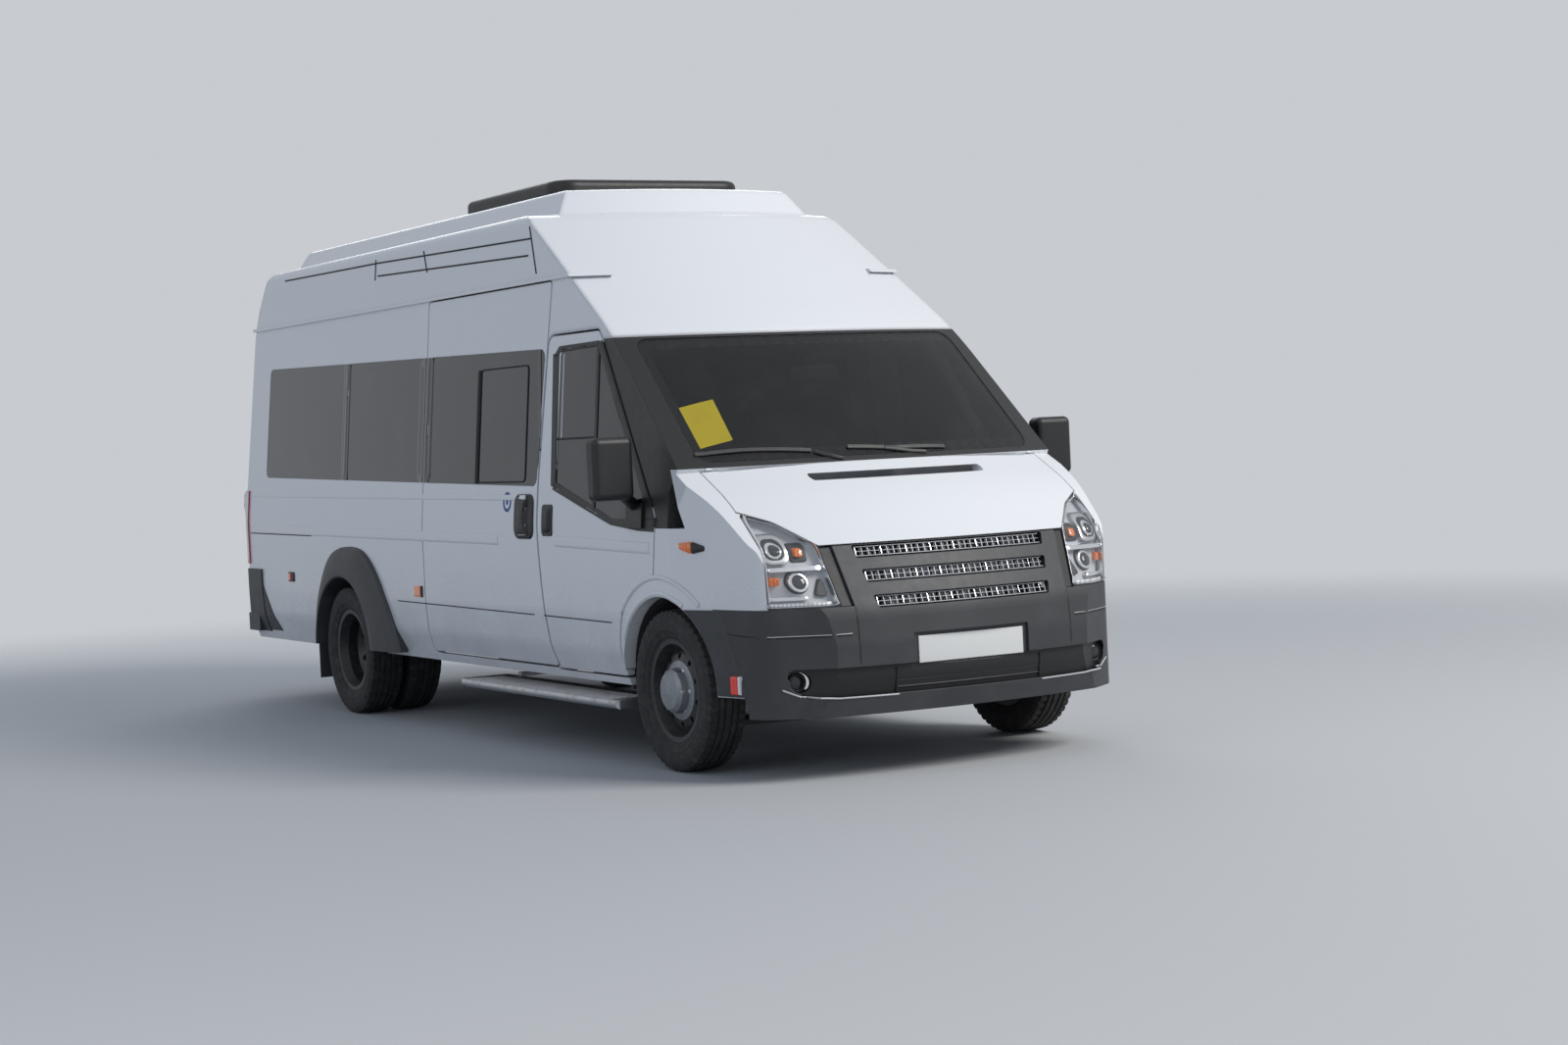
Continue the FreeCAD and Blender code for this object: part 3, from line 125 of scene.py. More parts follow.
class Tree:
    """A node tree being written."""

    def __init__(self, tree: bpy.types.NodeTree) -> None:
        """Empties the tree."""
        self.tree = tree
        tree.nodes.clear()

    def feed(self, socket: bpy.types.NodeSocket, value: "Value | float | Colour") -> None:
        """Links a value to a socket, or sets the number or colour."""
        if isinstance(value, Value):
            self.tree.links.new(value.socket, socket)
        else:
            socket.default_value = (*value, 1.0) if isinstance(value, tuple) else value

    def node(self, kind: str, settings: dict, inputs: dict, output: int | str = 0) -> Value:
        """Adds any node.

        Args:
            kind: the node's type.
            settings: its own settings, set before the sockets.
            inputs: values or links by socket name or number.
            output: the socket that is returned.

        Returns:
            The chosen output.
        """
        made = self.tree.nodes.new(kind)
        for name, value in settings.items():
            setattr(made, name, value)
        for name, value in inputs.items():
            self.feed(made.inputs[name], value)
        return Value(self, made.outputs[output])

    def end(self, kind: str, value: Value) -> None:
        """Adds an output node that takes the value."""
        self.feed(self.tree.nodes.new(kind).inputs[0], value)


class Surface(Tree):
    """A material being written: a Principled shader and the nodes that feed it."""

    def __init__(self, name: str) -> None:
        """Starts a material with its shader and output."""
        self.material = bpy.data.materials.new(name)
        self.material.use_nodes = True
        super().__init__(self.material.node_tree)
        self.shader = self.tree.nodes.new("ShaderNodeBsdfPrincipled")
        self.end("ShaderNodeOutputMaterial", Value(self, self.shader.outputs[0]))

    def set(self, **sockets: "Value | float | Colour") -> None:
        """Sets or links the shader's sockets, named with underscores for spaces."""
        for name, value in sockets.items():
            self.feed(self.shader.inputs[name.replace("_", " ")], value)

    def place(self) -> Value:
        """Where the surface is, in the row frame."""
        return self.node("ShaderNodeTexCoord", {}, {}, "Object")

    def axes(self) -> tuple[Value, ...]:
        """The three coordinates of the place."""
        split = self.node("ShaderNodeSeparateXYZ", {}, {0: self.place()}).socket.node
        return tuple(Value(self, socket) for socket in split.outputs)

    def noise(self, scale: float, detail: float = 3.0, roughness: float = 0.5) -> Value:
        """Soft random pattern from 0 to 1, of about scale lumps a metre."""
        return self.node("ShaderNodeTexNoise", {}, {
            "Vector": self.place(), "Scale": scale, "Detail": detail, "Roughness": roughness}, "Fac")

    def cells(self, scale: float) -> Value:
        """Distance to the nearest of scale random grains a metre."""
        return self.node("ShaderNodeTexVoronoi", {}, {"Vector": self.place(), "Scale": scale}, "Distance")

    def blend(self, mask: Value, below: "Value | Colour", above: "Value | Colour") -> Value:
        """Colour that goes from below to above as the mask goes from 0 to 1."""
        return self.node("ShaderNodeMix", {"data_type": "RGBA"}, {"Factor": mask, 6: below, 7: above}, 2)

    def relief(self, height: Value, depth: float, edge: float = 0.0) -> Value:
        """Normal of a surface whose height goes up and down by depth metres.

        Args:
            height: the pattern, 0 to 1.
            depth: metres from its low to its high points.
            edge: radius by which sharp edges look rounded, in metres.

        Returns:
            The normal.
        """
        inputs = {"Height": height, "Distance": depth, "Strength": 1.0}
        if edge:
            inputs["Normal"] = self.node("ShaderNodeBevel", {"samples": 4}, {"Radius": edge})
        return self.node("ShaderNodeBump", {}, inputs)


@dataclass(frozen=True)
class Look:
    """A finish, by the name and main colour of its material."""

    name: str
    colour: Colour

    def material(self) -> bpy.types.Material:
        """Returns the material, made once."""
        found = bpy.data.materials.get("look_" + self.name)
        if found is None:
            s = Surface("look_" + self.name)
            self.write(s)
            found = s.material
        return found

    def write(self, s: Surface) -> None:
        """Sets the material's sockets."""
        raise NotImplementedError


@dataclass(frozen=True)
class BodyPaint(Look):
    """Gloss paint over pressed steel: greyed by road dust below the waist, with faint orange peel."""

    roughness: float = 0.22
    dust: float = 0.35
    edge: float = 0.006

    def write(self, s: Surface) -> None:
        """Sets the material's sockets."""
        low = 1.0 - s.axes()[2].ramp(0.3, 1.0)
        grime = low * s.noise(2.2, 5.0, 0.6).ramp(0.3, 0.8) * self.dust
        tint = s.blend(s.noise(0.9, 2.0) * 0.25, self.colour, tuple(0.94 * c for c in self.colour))
        s.set(Base_Color=s.blend(grime, tint, ROAD_DUST),
              Roughness=grime * 0.6 + (s.noise(60.0) * 0.05 + self.roughness),
              Coat_Weight=0.6, Coat_Roughness=0.06, Specular_IOR_Level=0.5,
              Normal=s.relief(s.noise(420.0, 2.0), 0.00004, self.edge))


@dataclass(frozen=True)
class MouldedPlastic(Look):
    """Moulded plastic with a leather-like grain in relief, faded in soft patches."""

    roughness: float = 0.6
    grain: float = 1100.0
    depth: float = 0.00012
    weather: float = 0.5
    edge: float = 0.005

    def write(self, s: Surface) -> None:
        """Sets the material's sockets."""
        faded = tuple(min(1.0, 1.5 * c + 0.015) for c in self.colour)
        patches = s.noise(3.0, 6.0, 0.65).ramp(0.35, 0.75)
        s.set(Base_Color=s.blend(patches * self.weather, self.colour, faded),
              Roughness=s.noise(25.0) * 0.15 + (self.roughness - 0.07),
              Normal=s.relief(s.cells(self.grain), self.depth, self.edge))


@dataclass(frozen=True)
class Glazing(Look):
    """Window glass: tinted, nearly smooth, partly seen through, with faint dust."""

    alpha: float
    roughness: float = 0.03

    def write(self, s: Surface) -> None:
        """Sets the material's sockets."""
        dust = s.noise(3.5, 6.0, 0.7).ramp(0.45, 0.8)
        s.set(Base_Color=s.blend(dust * 0.035, self.colour, WINDOW_DUST),
              Roughness=dust * 0.05 + self.roughness, Alpha=dust * 0.04 + self.alpha,
              IOR=1.5, Specular_IOR_Level=0.5, Coat_Weight=0.25, Coat_Roughness=0.02)


@dataclass(frozen=True)
class Metal(Look):
    """Bare or plated metal, dulled where dirt lies and finely scratched."""

    roughness: float = 0.3
    dirt: float = 0.3
    dirt_colour: Colour = (0.12, 0.1, 0.085)

    def write(self, s: Surface) -> None:
        """Sets the material's sockets."""
        grime = s.noise(14.0, 6.0, 0.65).ramp(0.45, 0.8) * self.dirt
        s.set(Base_Color=s.blend(grime, self.colour, self.dirt_colour), Metallic=1.0 - grime,
              Roughness=grime * 0.4 + (s.noise(180.0, 2.0) * 0.1 + self.roughness),
              Normal=s.relief(s.noise(260.0, 3.0), 0.00006, 0.002))


@dataclass(frozen=True)
class TyreRubber(Look):
    """Road tyre: black rubber with dust in patches and small scuffs in relief."""

    colour: Colour = (0.022, 0.022, 0.023)

    def write(self, s: Surface) -> None:
        """Sets the material's sockets."""
        dust = s.noise(22.0, 6.0, 0.7).ramp(0.42, 0.8) * 0.5
        s.set(Base_Color=s.blend(dust, self.colour, TYRE_DUST), Roughness=s.noise(90.0) * 0.15 + 0.72,
              Normal=s.relief(s.noise(350.0, 4.0), 0.0003))


@dataclass(frozen=True)
class WheelPaint(Look):
    """Pressed steel wheel: black rim, and a silver-grey centre inside a radius round the front axle."""

    colour: Colour = (0.018, 0.018, 0.02)
    centre: Colour = (0.32, 0.33, 0.35)
    centre_radius: float = 0.128
    blur: float = 0.002

    def write(self, s: Surface) -> None:
        """Sets the material's sockets."""
        x, _, z = s.axes()
        across, up = x - FRONT_AXLE_X, z - AXLE_Z
        radius = (across * across + up * up) ** 0.5
        outside = radius.ramp(self.centre_radius - self.blur, self.centre_radius + self.blur)
        dust = s.noise(30.0, 6.0, 0.7).ramp(0.4, 0.8) * 0.4
        s.set(Base_Color=s.blend(dust, s.blend(outside, self.centre, self.colour), WHEEL_DUST),
              Roughness=dust * 0.5 + 0.38, Metallic=(1.0 - outside) * 0.35,
              Normal=s.relief(s.noise(240.0, 3.0), 0.0001, 0.002))


@dataclass(frozen=True)
class WovenCloth(Look):
    """Seat cloth: two crossed waves for the weave, grains for a small fleck."""

    fleck: Colour
    threads: float = 900.0

    def write(self, s: Surface) -> None:
        """Sets the material's sockets."""
        x, y, z = s.axes()
        weave = ((x + z) * self.threads).sine() * ((y + z * 0.2) * self.threads).sine() * 0.5 + 0.5
        spots = 1.0 - s.cells(70.0).ramp(0.1, 0.35)
        s.set(Base_Color=s.blend(spots * 0.5, self.colour, self.fleck), Roughness=0.92, Sheen_Weight=0.25,
              Normal=s.relief(weave, 0.0004))


@dataclass(frozen=True)
class LampPlastic(Look):
    """Coloured, glossy lamp lens with fine upright ribs in relief."""

    glow: float = 0.15
    ribs: float = 260.0

    def write(self, s: Surface) -> None:
        """Sets the material's sockets."""
        x, y, _ = s.axes()
        rib = ((x + y) * self.ribs).sine() * 0.5 + 0.5
        s.set(Base_Color=s.blend(rib, self.colour, tuple(0.55 * c for c in self.colour)), Roughness=0.12,
              Coat_Weight=0.8, Emission_Color=self.colour, Emission_Strength=self.glow,
              Normal=s.relief(rib, 0.0006))


class Finish(Enum):
    """Every finish of the minibus, by the name of its material."""

    WHITE = BodyPaint("white_paint", (0.8, 0.81, 0.83))
    BUMPER = MouldedPlastic("bumper_plastic", (0.035, 0.036, 0.039), 0.5)
    TRIM = MouldedPlastic("black_trim", (0.008, 0.008, 0.009), 0.45, weather=0.15)
    CABIN = MouldedPlastic("cabin_plastic", (0.03, 0.03, 0.032), 0.7)
    FLOOR = MouldedPlastic("floor_lining", (0.045, 0.045, 0.048), 0.8, 300.0)
    DARK_GLASS = Glazing("dark_glass", (0.006, 0.007, 0.01), 0.965)
    SCREEN = Glazing("screen_glass", (0.006, 0.008, 0.009), 0.5)
    LENS = Glazing("lamp_glass", (0.6, 0.62, 0.65), 0.04)
    CHROME = Metal("lamp_chrome", (0.82, 0.83, 0.85), 0.1, 0.05)
    STEP = Metal("step_aluminium", (0.5, 0.51, 0.53), 0.35, 0.5)
    EXHAUST = Metal("exhaust_steel", (0.32, 0.3, 0.28), 0.45, 0.6, (0.1, 0.05, 0.03))
    ENGINE = Metal("engine_iron", (0.22, 0.22, 0.23), 0.5, 0.5)
    CHASSIS = MouldedPlastic("chassis_steel", (0.014, 0.014, 0.015), 0.5, 200.0, 0.0003)
    WHEEL = WheelPaint("wheel_steel")
    TYRE = TyreRubber("tyre_rubber")
    CLOTH = WovenCloth("seat_cloth", (0.035, 0.04, 0.055), (0.12, 0.13, 0.16))
    TAIL = LampPlastic("tail_lamp", (0.42, 0.012, 0.012))
    AMBER = LampPlastic("amber_lens", (0.8, 0.18, 0.02))
    RED = LampPlastic("red_marker", (0.65, 0.03, 0.015), 0.25)
    WHITE_LENS = LampPlastic("white_lens", (0.75, 0.76, 0.78), 0.1)
    PLATE = MouldedPlastic("plate_white", (0.72, 0.72, 0.7), 0.35, 500.0, 0.00003, 0.1)
    # Glows by emission though it is no lamp: painted light on the card behind the screen.
    GLOWING_CARD = LampPlastic("yellow_card_painted_glow", (0.9, 0.72, 0.02), 1.4, 0.0)
    ROOF = BodyPaint("roof_paint", (0.8, 0.81, 0.83), edge=0.035)
    FRIT = Glazing("window_band", (0.006, 0.0065, 0.008), 1.0)
    DARK_LENS = Glazing("dark_lens", (0.02, 0.022, 0.026), 1.0)
    # Black for real joints, and for dark lines painted as the shade of pressed creases and beads.
    SEAM = MouldedPlastic("seam_and_shade_black", (0.01, 0.01, 0.011), 0.7, 600.0, 0.00003, 0.2, 0.0)
    # Light grey plastic for lamp frames and grille bars; also a strip painted as a highlight on the bumper's lower
    # lip.
    LIGHT_GREY_AND_HIGHLIGHT = MouldedPlastic("lamp_frame", (0.5, 0.51, 0.53), 0.3, 500.0, 0.00003, 0.1, 0.0)
    STICKER = MouldedPlastic("blue_sticker", (0.01, 0.06, 0.3), 0.4, 500.0, 0.00002, 0.2, 0.0)
    # Satin metal for trim and nuts; also a ribbon painted as the highlight on the bumper's crease.
    SATIN_AND_HIGHLIGHT = Metal("satin_trim_and_highlight", (0.55, 0.56, 0.58), 0.3, 0.2)
    MIRROR = Metal("mirror_glass", (0.75, 0.77, 0.8), 0.03, 0.05)


# Meshes

def build(name: str, shape: Shape, finish: Finish, body: str, crease: float = 35.0) -> bpy.types.Object:
    """Makes a piece and lets it ride on a body.

    Args:
        name: the piece's name.
        shape: (n, 3) vertices in the row frame, and (m, 4) vertex numbers.
        finish: its finish.
        body: the CAD body that it rides on.
        crease: the angle from which an edge stays sharp, in degrees.

    Returns:
        The piece.
    """
    points, faces = shape
    mesh = bpy.data.meshes.new(name)
    mesh.from_pydata(points.reshape(-1, 3).tolist(), [], faces.tolist())
    mesh.validate()
    mesh.shade_smooth()
    mesh.set_sharp_from_angle(angle=math.radians(crease))
    mesh.materials.append(finish.value.material())
    piece = bpy.data.objects.new(name, mesh)
    bpy.context.scene.collection.objects.link(piece)
    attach(piece, body)
    log.info("%s: %d faces", name, len(mesh.polygons))
    return piece


def quads(rows: int, columns: int, closed: bool) -> Array:
    """Returns the faces of rings of points, numbered ring by ring, and of the last to the first if closed."""
    r = np.arange(rows if closed else rows - 1)[:, None]
    c = np.arange(columns)
    r1, c1 = (r + 1) % rows, (c + 1) % columns
    grid = np.stack([r * columns + c, r1 * columns + c, r1 * columns + c1, r * columns + c1], axis=-1)
    return grid.reshape(-1, 4)


def merged(parts: list[Shape]) -> Shape:
    """Puts several shapes together, renumbering the faces."""
    points = [part[0].reshape(-1, 3) for part in parts]
    starts = np.cumsum([0, *map(len, points)])
    return np.concatenate(points), np.concatenate([part[1] + start for part, start in zip(parts, starts)])


def outward(points: Array, faces: Array) -> Shape:
    """Turns a closed mesh's faces outwards, by the sign of its volume: the sum of a . (b x c) over its corners."""
    flat = points.reshape(-1, 3)
    a, b, c, d = np.moveaxis((flat - flat.mean(0))[faces], 1, 0)
    volume = (a * (np.cross(b, c) + np.cross(c, d))).sum()
    return points, faces if volume > 0 else faces[:, ::-1]


def cap_faces(count: int, start: int) -> Array:
    """Returns quads that fill a ring of points, paired across from its first point."""
    left = np.arange(0, count // 2 - 1)
    right = count - 1 - left
    return np.stack([left, right, right - 1, left + 1], axis=-1) + start


def stacked(rings: Array) -> Shape:
    """Closes a stack of rings (rows, count, 3) into a solid skin, with both ends filled."""
    rows, count = rings.shape[:2]
    ends = [cap_faces(count, 0)[:, ::-1], cap_faces(count, (rows - 1) * count)]
    return outward(rings, np.concatenate([quads(rows, count, False), *ends]))


def turn(count: int) -> Array:
    """Returns a full turn's angles, in even steps."""
    return np.linspace(0, 2 * np.pi, count, endpoint=False)


def sphere(tilt: Array, round_: Array) -> Array:
    """Returns a unit sphere's points (cos a cos b, cos a sin b, sin a), in a row for each tilt a."""
    a, b = np.meshgrid(tilt, round_, indexing="ij")
    return np.stack([np.cos(a) * np.cos(b), np.cos(a) * np.sin(b), np.sin(a)], axis=-1)


def rounded_block(low: Point, high: Point, radius: float, steps: int = 6) -> Shape:
    """A box with rounded edges.

    A unit sphere's point n gives the point (half size - radius) times sign(n), plus radius times n.

    Args:
        low: one corner.
        high: the corner across from it.
        radius: the rounding.
        steps: points along a quarter turn.

    Returns:
        Points and faces.
    """
    low, high = np.minimum(low, high), np.maximum(low, high)
    half = (high - low) / 2
    radius = min(radius, float(half.min()) * 0.999)
    quarter = np.linspace(0, np.pi / 2, steps)
    n = sphere(np.concatenate([quarter - np.pi / 2, quarter]),
               np.concatenate([quarter + k * np.pi / 2 for k in range(4)]))
    corner = np.sign(sphere(np.repeat([-1, 1], steps), np.repeat([1, 3, 5, 7], steps) * np.pi / 4))
    return stacked((high + low) / 2 + corner * (half - radius) + n * radius)


def carried(profile: Array, path: Array, up: Array, closed: bool = False) -> Shape:
    """A profile carried along a path.

    At each path point, the profile's first coordinate runs sideways (tangent x up) and its second along up.

    Args:
        profile: (k, 2) closed outline.
        path: (n, 3) points.
        up: (3,) direction.
        closed: whether the path closes on itself.

    Returns:
        Points and faces, with the ends filled on an open path.
    """
    tangent = np.roll(path, -1, 0) - np.roll(path, 1, 0) if closed else np.gradient(path, axis=0)
    tangent /= np.linalg.norm(tangent, axis=1, keepdims=True)
    side = np.cross(tangent, up)
    side /= np.linalg.norm(side, axis=1, keepdims=True)
    rise = np.cross(side, tangent)
    points = path[:, None] + side[:, None] * profile[None, :, :1] + rise[:, None] * profile[None, :, 1:]
    return outward(points, quads(len(path), len(profile), True)) if closed else stacked(points)


class Skin:
    """The outside of CAD nodes, as triangles, on which pieces are seated."""

    batch: int = 256
    slack: float = 1e-5
    flat_area: float = 1e-12

    def __init__(self, *nodes: str) -> None:
        """Collects the nodes' triangles."""
        triangles = []
        for node in nodes:
            mesh = frame["nodes"][node].data
            mesh.calc_loop_triangles()
            corners = np.empty(len(mesh.loop_triangles) * 3, np.int64)
            mesh.loop_triangles.foreach_get("vertices", corners)
            places = np.empty(len(mesh.vertices) * 3)
            mesh.vertices.foreach_get("co", places)
            triangles.append(places.reshape(-1, 3)[corners].reshape(-1, 3, 3))
        self.triangles = np.concatenate(triangles)

    def reach(self, axis: Axis, way: int, across: Array, up: Array) -> Array:
        """How far the skin reaches along an axis, over points given by the other two coordinates.

        Each point is tested against every triangle by its barycentric weights.

        Args:
            axis: the axis looked along.
            way: 1 for the highest reach, -1 for the lowest.
            across: the first of the other coordinates.
            up: the second of them.

        Returns:
            The coordinate along the axis, nan where there is no skin.
        """
        corner = self.triangles[..., axis.others()]
        depth = self.triangles[..., axis.value]
        a, b = corner[:, 1] - corner[:, 0], corner[:, 2] - corner[:, 0]
        area = a[:, 0] * b[:, 1] - a[:, 1] * b[:, 0]
        usable = np.abs(area) > self.flat_area
        area = np.where(usable, area, 1.0)
        q = np.stack([np.ravel(across), np.ravel(up)], axis=-1)
        out = np.empty(len(q))
        for start in range(0, len(q), self.batch):
            rel = q[start:start + self.batch, None] - corner[None, :, 0]
            wa = (rel[..., 0] * b[:, 1] - rel[..., 1] * b[:, 0]) / area
            wb = (a[:, 0] * rel[..., 1] - a[:, 1] * rel[..., 0]) / area
            inside = usable & (wa > -self.slack) & (wb > -self.slack) & (wa + wb < 1 + self.slack)
            value = depth[:, 0] + wa * (depth[:, 1] - depth[:, 0]) + wb * (depth[:, 2] - depth[:, 0])
            best = np.where(inside, way * value, -np.inf).max(1)
            out[start:start + self.batch] = np.where(np.isfinite(best), way * best, np.nan)
        return out.reshape(np.shape(across))


def resampled(corners: Array, step: float) -> Array:
    """Returns points along straight runs between the corners, no further apart than step."""
    runs = []
    for start, end in zip(corners, corners[1:]):
        count = max(1, int(np.ceil(np.linalg.norm(end - start) / step)))
        runs.append(start + (end - start) * np.arange(count)[:, None] / count)
    return np.concatenate([*runs, corners[-1:]])


def straight(*corners: tuple[float, float], step: float = 0.05) -> Array:
    """Returns a flat path through the corners, in steps short enough to follow a curved skin."""
    return resampled(np.array(corners, float), step)


def rounded(corners: list[tuple[float, ...]], count: int = 64) -> Array:
    """A closed outline with rounded corners.

    Each corner (u, v, radius) becomes an arc that touches both of its sides, and the whole is divided evenly.

    Args:
        corners: the corners in order, with a radius where there is one.
        count: points of the outline, an even number.

    Returns:
        (count, 2) points.
    """
    places = np.array([corner[:2] for corner in corners], float)
    path = []
    for i, corner in enumerate(corners):
        here = places[i]
        radius = corner[2] if len(corner) > 2 else 0.0
        if not radius:
            path.append(here[None])
            continue
        back, ahead = places[i - 1] - here, places[(i + 1) % len(corners)] - here
        back, ahead = back / np.linalg.norm(back), ahead / np.linalg.norm(ahead)
        half = math.acos(np.clip(back @ ahead, -1, 1)) / 2
        reach = radius / math.tan(half)
        centre = here + (back + ahead) / np.linalg.norm(back + ahead) * radius / math.sin(half)
        start, end = here + back * reach - centre, here + ahead * reach - centre
        share = np.linspace(0, 1, 9)[:, None]
        bow = start * (1 - share) + end * share
        path.append(centre + bow / np.linalg.norm(bow, axis=1, keepdims=True) * radius)
    line = np.concatenate([*path, path[0][:1]])
    run = np.concatenate([[0], np.cumsum(np.linalg.norm(np.diff(line, axis=0), axis=1))])
    at = np.linspace(0, run[-1], count, endpoint=False)
    return np.stack([np.interp(at, run, line[:, 0]), np.interp(at, run, line[:, 1])], axis=-1)


def rectangle(u0: float, u1: float, v0: float, v1: float, radius: float, count: int = 64) -> Array:
    """Returns the outline of an upright rectangle with rounded corners."""
    return rounded([(u0, v0, radius), (u1, v0, radius), (u1, v1, radius), (u0, v1, radius)], count)


def circle(u: float, v: float, radius: float, angles: Array) -> Array:
    """Returns flat points at some angles round (u, v)."""
    return np.stack([u + radius * np.cos(angles), v + radius * np.sin(angles)], axis=-1)


def disc(u: float, v: float, radius: float, count: int = 48) -> Array:
    """Returns a round outline."""
    return circle(u, v, radius, turn(count))


def arc(u: float, v: float, radius: float, start: float, end: float, count: int) -> Array:
    """Returns a flat arc about (u, v) between two angles in degrees."""
    return circle(u, v, radius, np.radians(np.linspace(start, end, count)))


def spline(corners: Flat, count: int = 48) -> Array:
    """A smooth open path drawn by its corners: the quadratic B-spline with both ends repeated."""
    p = np.array([corners[0], *corners, corners[-1]], float)
    at = np.linspace(0, len(p) - 2, count)
    k = np.minimum(at.astype(int), len(p) - 3)
    t = (at - k)[:, None]
    return ((1 - t) ** 2 * p[k] + (1 + 2 * t - 2 * t * t) * p[k + 1] + t * t * p[k + 2]) / 2


def barrel(centre: Point, profile: Flat) -> Shape:
    """A round piece about the X direction, through rings given as (offset along X, radius)."""
    rings = [np.insert(disc(0, 0, radius, 32), 0, offset, axis=1) for offset, radius in profile]
    return stacked(np.array(rings) + np.array(centre))


def pillow(low: Point, high: Point, square: float = 0.28, rows: int = 18, columns: int = 32) -> Shape:
    """A stuffed block with bulging faces: a superquadric.

    Each coordinate t of a unit sphere's points becomes sign(t) |t|^square, times half the size.

    Args:
        low: lowest corner.
        high: highest corner.
        square: 1 for an ellipsoid, towards 0 for a box.
        rows: points from bottom to top.
        columns: points round it.

    Returns:
        Points and faces.
    """
    ease = np.linspace(-1, 1, rows)
    tilt = np.pi / 2 * np.sign(ease) * np.abs(ease) ** 0.8 * 0.985
    ball = sphere(tilt, (np.arange(columns) + 0.5) / columns * 2 * np.pi)
    low, high = np.array(low), np.array(high)
    return stacked((low + high) / 2 + np.sign(ball) * np.abs(ball) ** square * (high - low) / 2)


@dataclass
class Seat:
    """A surface that pieces are laid on: the skin of some nodes looked at along one axis."""

    skin: "Skin | NoseForm"
    axis: Axis
    way: int
    step: float = 0.04
    columns: int = 15
    softened: float = 0.06
    innermost: float = 0.06

    def lift(self, flat: Array, rise: "Array | float" = 0.0) -> Array:
        """Puts flat points on the skin, or level with its nearest place, raised by some metres along the axis."""
        out = np.empty((*flat.shape[:-1], 3))
        out[..., self.axis.others()] = flat
        reach = self.skin.reach(self.axis, self.way, flat[..., 0], flat[..., 1])
        gaps = np.isnan(reach)
        if gaps.all():
            raise ValueError("no skin under a piece")
        if gaps.any():
            nearest = ((flat[gaps][:, None] - flat[~gaps][None]) ** 2).sum(-1).argmin(1)
            reach[gaps] = reach[~gaps][nearest]
        out[..., self.axis.value] = reach + self.way * rise
        return out

    def plate(self, shape: Array, proud: float, sunk: float = 0.003, crown: float = 0.0, soft: float = 0.12,
              base: float = 0.0) -> Shape:
        """A closed plate that follows the skin.

        The outline is shrunk about its middle to the share f, and raised by base, plus proud and crown times
        (1 - f^2), both times a rounded border sqrt(1 - ((f - 1 + soft) / soft)^2) where f is above 1 - soft.

        Args:
            shape: (n, 2) outline.
            proud: height over the base.
            sunk: depth of its underside below the base.
            crown: extra height in the middle.
            soft: share of the outline taken by the rounded border.
            base: height of the base over the skin.

        Returns:
            Points and faces.
        """
        border = 1 - soft + soft * np.sin(np.linspace(0.3, np.pi / 2, 5))
        shares = np.concatenate([np.linspace(self.innermost, 1 - soft, 5), border])
        centre = shape.mean(0)
        spread = centre + shares[:, None, None] * (shape - centre)
        fall = np.sqrt(np.clip(1 - (np.clip(shares - 1 + soft, 0, None) / soft) ** 2, 0, 1))
        top = self.lift(spread, (base + (proud + crown * (1 - shares ** 2)) * fall)[:, None])
        return stacked(np.concatenate([top, self.lift(spread, base - sunk)[::-1]]))

    def strip(self, first: Flat, second: Flat, proud: float, sunk: float = 0.002) -> Shape:
        """A slab that follows the skin between two edges that run side by side.

        Args:
            first: corners of one edge.
            second: as many corners of the other.
            proud: height over the skin, less within a narrow softened border.
            sunk: depth of its underside below the skin.

        Returns:
            Points and faces.
        """
        both = resampled(np.concatenate([np.array(first, float), np.array(second, float)], axis=-1), self.step)
        share = (1 - np.cos(np.linspace(0, np.pi, self.columns))) / 2
        flat = both[:, None, :2] * (1 - share)[:, None] + both[:, None, 2:] * share[:, None]
        border = np.clip(np.minimum(share, 1 - share) / self.softened, 0, 1) ** 0.5
        return stacked(np.concatenate([self.lift(flat, proud * border), self.lift(flat[:, ::-1], -sunk)], axis=1))

    def ribbon(self, path: Array, width: float, proud: float, sunk: float = 0.002, base: float = 0.0,
               closed: bool = False) -> Shape:
        """A strip with a rounded top that runs along a flat path on the skin, raised by base."""
        t = np.linspace(0, np.pi, 7)
        top = np.stack([width / 2 * np.cos(t), proud * np.sin(t) ** 0.7], axis=-1)
        foot = np.array([(-width / 2, -sunk), (0.0, -sunk), (width / 2, -sunk)])
        up = np.zeros(3)
        up[self.axis.value] = self.way
        return carried(np.concatenate([top, foot]), self.lift(path, base), up, closed)


@dataclass
class NoseForm:
    """The nose's outer form: at every height an arc about an upright axis, which also spans its openings."""

    axis_x: float = 0.07
    sample_y: float = 0.5
    lowest: float = 0.28
    highest: float = 1.28

    def __post_init__(self) -> None:
        """Measures the arc's radius at the heights where the nose is closed."""
        heights = np.linspace(self.lowest, self.highest, 201)
        skin = Skin("grille_panel", "front_bumper", "hood")
        reach = skin.reach(Axis.X, 1, np.full(heights.shape, self.sample_y), heights)
        known = ~np.isnan(reach)
        self.heights = heights[known]
        self.radii = np.hypot(reach[known] - self.axis_x, self.sample_y)

    def reach(self, axis: Axis, way: int, across: Array, up: Array) -> Array:
        """X of the form over points given by Y and Z: the axis plus sqrt(radius^2 - y^2)."""
        radius = np.interp(up, self.heights, self.radii)
        return self.axis_x + np.sqrt(np.clip(radius ** 2 - across ** 2, 0, None))


# Sub-assemblies

